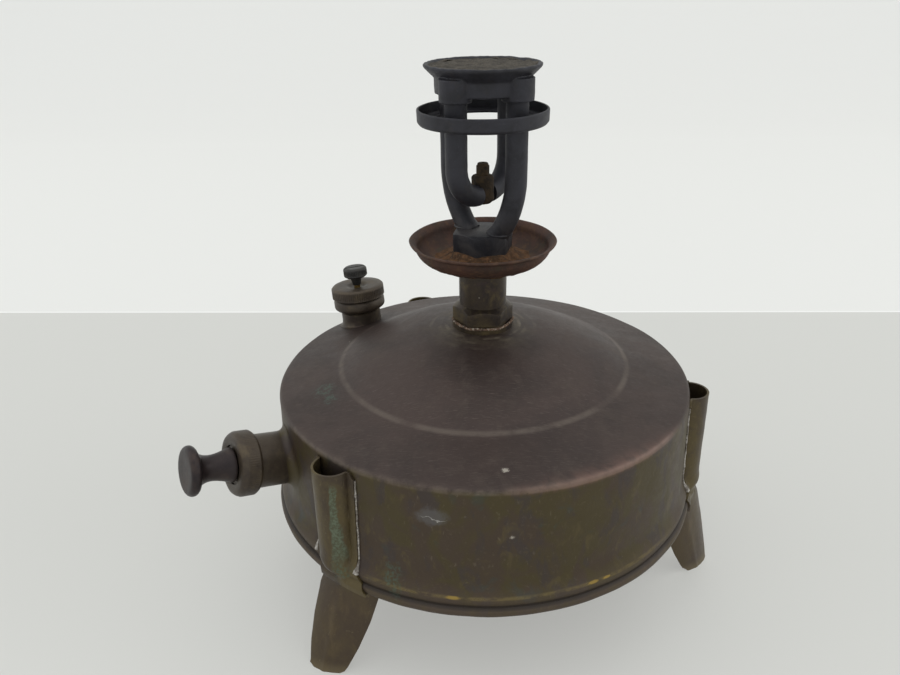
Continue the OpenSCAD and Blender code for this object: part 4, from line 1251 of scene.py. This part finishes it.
def build_filler():
    """The threaded neck with its collar, the knurled cap and the slotted air screw."""
    lean = math.tan(SHOULDER_SLOPE - math.radians(6))

    def collar_shape(a, r, z):
        """The collar's lower edge follows the sloping shoulder and flares into it."""
        if z > 2.0:
            return r, z
        foot = -lean * r * math.cos(a)
        return r, lerp(foot - 0.4, z, ease(z / 2.0)) if z > 0 else foot - 0.4

    collar = at(NECK_R, 0, (-2, 0), (1.6, 0), (0.7, 0.5), (0.2, 1.1), (0, 2.2), (0, 4.0))
    collar = lathe(collar + at(NECK_R, NECK_H, (0, -0.4), (-0.4, 0), (-2, 0)), 96, collar_shape)
    rows = [(6.6, NECK_H - 1)] + [(THREAD_R, lerp(NECK_H - 1, NECK_TOP, k / 40)) for k in range(41)]
    rows += [(6.6, NECK_TOP)]

    def threaded(a, r, z):
        if r < THREAD_R - 0.1 or z > NECK_TOP - 0.6:
            return min(r, THREAD_R - 0.25), z
        turn = abs(((z / THREAD_PITCH) - a / (2 * math.pi)) % 1.0 - 0.5) * 2
        return r - 0.35 * ease(turn), z

    neck = lathe(rows, 96, threaded)
    to_filler = FILLER @ Matrix.Rotation(math.atan2(FILLER_AXIS.y, FILLER_AXIS.x), 4, "Z")
    add_mesh("neck_collar", joined(collar, neck), BRONZE, replaces=["filler_neck"], place=to_filler,
             angle=35)

    body = [(8.45, CAP_LOW), (NECK_R + 0.6, CAP_LOW)]
    for k in range(9):
        a = math.radians(lerp(-78, 0, k / 8))
        body.append((CAP_R - 2.1 + 1.7 * math.cos(a), CAP_LOW + 2.2 + 1.7 * math.sin(a)))
    body += at(CAP_R, CAP_TIER, (-0.45, -1.3), (-0.8, -0.7), (-1.2, -0.3), (-0.8, 0.1), (0, 0.7))
    body += [(CAP_R, lerp(CAP_TIER + 0.9, CAP_TOP - 1.3, k / 6)) for k in range(7)]
    body += at(CAP_R, CAP_TOP, (-0.1, -0.7), (-0.8, 0))
    body += at(0, CAP_TOP, (9.5, 0), (6.0, -0.05), (4.8, -0.15), (3.6, -0.8), (2.6, -0.95), (1.56, -0.95))
    body += at(0, NECK_TOP, (1.56, 1.7), (8.45, 1.7))
    cap = lathe(body, 384, knurled(76, 0.22, CAP_TIER + 0.6, CAP_TOP - 0.9, CAP_R - 0.2))
    add_mesh("cap_body", cap, BRONZE, "filler_cap", ["filler_cap"], place=FILLER, angle=48)

    head_z = CAP_TOP + SCREW_NECK
    screw = at(0, CAP_TOP, (0, 0.3), (2.0, 0.3), (2.2, 1.3)) + at(0, head_z, (2.75, -0.3), (3.2, 0))
    screw += at(SCREW_R, head_z, (-1.1, 0.05), (-0.2, 0.7), (0, 1.0))
    screw += [(SCREW_R, head_z + lerp(1.2, SCREW_H - 1.0, k / 4)) for k in range(5)]
    screw += at(SCREW_R, head_z + SCREW_H, (-0.15, -0.6), (-0.9, 0))
    screw += at(0, head_z + SCREW_H, (3.4, 0.05), (1.2, 0), (0, 0))
    slot_w, slot_d = 0.5, 0.4
    along_slot = FILLER.to_3x3().inverted() @ polar(1, 20)
    slot_turn = math.atan2(along_slot.y, along_slot.x)

    grooves = knurled(44, 0.26, head_z + 0.9, head_z + SCREW_H - 0.8, SCREW_R - 0.2)
    fine_top = refined(screw[-4:], 0.35)
    screw = screw[:-4] + fine_top

    def slotted(a, r, z):
        r, z = grooves(a, r, z)
        if z > head_z + SCREW_H - 0.7 and abs(r * math.sin(a - slot_turn)) < slot_w:
            z -= slot_d
        return r, z

    head = lathe(screw, 176, slotted, closed=False)
    add_mesh("screw_head", head, SCREW, "air_screw", ["air_screw_head"], place=FILLER, angle=42)


# ---------- pump ----------

CAP_FACE = 25.0
BARREL_R = 11.0
BARREL_IN = 74.8
BARREL_WALL = 0.8
PUMP_CAP_R = 13.2
ROD_HOLE_R = 2.56
KNOB_R = 9.96
KNOB_LEN = 18.46
KNOB_BORE_R = 2.55


def build_pump():
    """The barrel, knurled cap and spool-shaped knob, along the pump's axis."""
    barrel = [(BARREL_R - BARREL_WALL, -BARREL_IN)]
    barrel += refined([(BARREL_R, -BARREL_IN), (BARREL_R, CAP_FACE - 2)], 4)
    barrel += [(BARREL_R - BARREL_WALL, CAP_FACE - 2)]
    tube = lathe(barrel, 120, lambda a, r, z: (
        r + (0.07 * lump(*around(a, r), z, 11, 4) - 0.03 if r > BARREL_R - 0.4 else 0), z))
    add_mesh("barrel_tube", tube, BRONZE, replaces=["pump_barrel"], place=PUMP, angle=40)
    skirt = CAP_FACE - 8.5
    rim = [(BARREL_R - 0.2, skirt + 0.1), (BARREL_R + 1.4, skirt), (PUMP_CAP_R - 0.4, skirt + 0.5),
           (PUMP_CAP_R, skirt + 1.1)]
    rim += [(PUMP_CAP_R, lerp(skirt + 1.3, CAP_FACE - 2.7, k / 6)) for k in range(7)]
    rim += at(PUMP_CAP_R, CAP_FACE, (-0.05, -2.3), (-0.55, -1.2), (-1.3, -0.3), (-2.4, 0))
    rim += at(0, CAP_FACE, (8.5, -0.05), (8.0, -0.3), (7.85, -1), (ROD_HOLE_R, -1), (ROD_HOLE_R, -1.8))
    rim += [(BARREL_R - 0.2, CAP_FACE - 1.8)]
    cap = lathe(rim, 416, knurled(88, 0.10, skirt + 1.0, CAP_FACE - 2.4, PUMP_CAP_R - 0.2))
    add_mesh("pump_cap_ring", cap, BRONZE, replaces=["pump_cap"], place=PUMP, angle=48)
    base_z, disc_t = CAP_FACE - 0.35, 4.2
    disc_z = CAP_FACE + KNOB_LEN - disc_t
    bore_top = CAP_FACE + 11.65
    spool = [(0.0, bore_top), (KNOB_BORE_R, bore_top), (KNOB_BORE_R, base_z)]
    spool += at(0, base_z, (6.6, 0), (7.0, 0.35), (7.0, 1.3))
    for k in range(1, 15):
        t = k / 15
        r = 4.7 + 2.3 * (1 - t) ** 2.4 + (KNOB_R - 7.3) * t ** 5
        spool.append((r, lerp(base_z + 1.4, disc_z, t)))
    for k in range(13):
        a = math.radians(lerp(-84, 84, k / 12))
        spool.append((KNOB_R - disc_t / 2 + disc_t / 2 * math.cos(a),
                      disc_z + disc_t / 2 * (1 + math.sin(a))))
    spool += at(KNOB_R, disc_z + disc_t, (-3.2, 0), (-5.5, -0.15)) + [(0.0, disc_z + disc_t - 0.25)]
    knob = lathe(spool, 120, lambda a, r, z: (
        r + (0.05 * lump(*around(a, r), z, 7, 5) if r > 3 else 0), z), closed=False)
    add_mesh("knob_spool", knob, KNOB, "pump_plunger", ["pump_knob"], place=PUMP, angle=40)


def wall_fillet():
    """The solder that blends the barrel into the tank's wall, as a hollow curve all round."""
    size = 3.2
    flat = Vector((PUMP_AXIS.x, PUMP_AXIS.y))

    def on_wall(a, r, z):
        start = PUMP @ Vector((*around(a, r), 0))
        here = Vector((start.x, start.y))
        half_b = here.dot(flat)
        gap = here.dot(here) - side_r(start.z) ** 2
        along = (-half_b + math.sqrt(half_b ** 2 - flat.dot(flat) * gap)) / flat.dot(flat)
        uneven = 1 + 0.18 * lump(*around(a, 14), 0, 9, 8)
        return BARREL_R + (r - BARREL_R) * uneven, along + z * uneven

    curve = [(BARREL_R + size * (1 - math.cos(math.radians(t))), size * (1 - math.sin(math.radians(t))))
             for t in range(0, 91, 10)]
    profile = [(BARREL_R - 0.3, size)] + curve + [(BARREL_R + size, -0.5), (BARREL_R - 0.3, -0.5)]
    return moved(lathe(profile[::-1], 96, on_wall), PUMP)


def build_fillets():
    add_mesh("pump_fillet", wall_fillet(), TANK, angle=80)


# ---------- scene ----------


TABLE_EDGE = 0.285
WALL_Y = 0.95
WALL_CURVE = 0.5


def build_stage():
    """A pale table top; the lighter ground beyond its far edge curves up into a wall."""
    f = Finish("pale_floor")
    beyond = f.band(f.y, TABLE_EDGE - 0.0004, TABLE_EDGE + 0.0004)
    colour = f.mix(f.stripe(f.y, TABLE_EDGE, 0.0008, 0.0006), f.mix(beyond, "9a9a95", "adadaa"), "c4c4c2")
    # Painted light: the floor glows, a little more beyond the table's edge and more towards the front, which
    # lifts the shadows round the stove.
    f.put(f.shader.inputs["Emission Color"], (1.0, 1.0, 0.965, 1.0))
    f.put(f.shader.inputs["Emission Strength"], f.math("ADD", f.band(beyond, 0.0, 1.0, 0.31, 0.37),
                                                    f.band(f.y, 0.05, -0.40, 0.0, 0.12)))
    f.finish(colour, 0.5, 0.0, 0.25)
    rows = [(-1.6, 0.0), (-0.6, 0.0), (0.0, 0.0), (0.6, 0.0), (WALL_Y, 0.0)]
    for a in range(10, 91, 10):
        sine, cosine = math.sin(math.radians(a)), math.cos(math.radians(a))
        rows.append((WALL_Y + WALL_CURVE * sine, WALL_CURVE - WALL_CURVE * cosine))
    rows += [(WALL_Y + WALL_CURVE, 1.2), (WALL_Y + WALL_CURVE, 2.2)]
    verts = [(x, y, z) for y, z in rows for x in (-2.6, 2.6)]
    faces = [(2 * i, 2 * i + 1, 2 * i + 3, 2 * i + 2) for i in range(len(rows) - 1)]
    mesh = bpy.data.meshes.new("floor")
    mesh.from_pydata(verts, [], faces)
    mesh.shade_smooth()
    mesh.materials.append(f.material)
    floor = bpy.data.objects.new("floor", mesh)
    bpy.context.scene.collection.objects.link(floor)


def add_light(name, place, target, size, power, colour=(1, 1, 1)):
    data = bpy.data.lights.new(name, "AREA")
    data.shape = "RECTANGLE"
    data.size, data.size_y = size
    data.energy = power
    data.color = colour
    light = bpy.data.objects.new(name, data)
    light.location = place
    light.rotation_euler = (Vector(target) - Vector(place)).to_track_quat("-Z", "Y").to_euler()
    bpy.context.scene.collection.objects.link(light)


def build_lights():
    world = bpy.data.worlds.new("studio")
    world.use_nodes = True
    world.node_tree.nodes["Background"].inputs["Color"].default_value = (0.93, 0.97, 1.0, 1)
    world.node_tree.nodes["Background"].inputs["Strength"].default_value = 0.86
    bpy.context.scene.world = world
    add_light("ceiling", (0.0, 0.0, 1.5), (0, 0, 0), (2.4, 2.0), 6, (1.0, 0.99, 0.96))
    add_light("left_window", (-1.5, 0.3, 0.8), (0, 0, 0.08), (1.0, 1.2), 2.5, (0.95, 0.98, 1.0))
    add_light("right_wall", (1.5, 0.1, 0.7), (0, 0, 0.08), (1.0, 1.2), 3.5)
    bpy.context.scene.view_settings.view_transform = "Standard"


CAMERA_PLACE = (0.0, -0.3129, 0.2627)
CAMERA_PITCH = 25.54
CAMERA_YAW = -2.614
CAMERA_ROLL = -1.10
CAMERA_LENS = 31.8


def build_camera():
    """The camera that matches the picture: in front of the stove, above its burner, looking down."""
    pitch, yaw, roll = (math.radians(a) for a in (CAMERA_PITCH, CAMERA_YAW, CAMERA_ROLL))
    forward = Vector((math.sin(yaw) * math.cos(pitch), math.cos(yaw) * math.cos(pitch), -math.sin(pitch)))
    right = forward.cross(Vector((0, 0, 1))).normalized()
    up = right.cross(forward)
    right, up = (math.cos(roll) * right + math.sin(roll) * up,
                 -math.sin(roll) * right + math.cos(roll) * up)
    data = bpy.data.cameras.new("camera")
    data.sensor_width = 36.0
    data.lens = CAMERA_LENS
    data.clip_start = 0.01
    camera = bpy.data.objects.new("camera", data)
    turn = Matrix((right, up, -forward)).transposed().to_4x4()
    camera.matrix_world = Matrix.Translation(CAMERA_PLACE) @ turn
    bpy.context.scene.collection.objects.link(camera)
    bpy.context.scene.camera = camera


finish_cad_nodes()
build_tank()
build_legs()
build_riser()
build_cup()
build_burner_base()
build_jet()
build_ring()
build_head()
build_plate()
build_filler()
build_pump()
build_fillets()
build_stage()
build_lights()
build_camera()
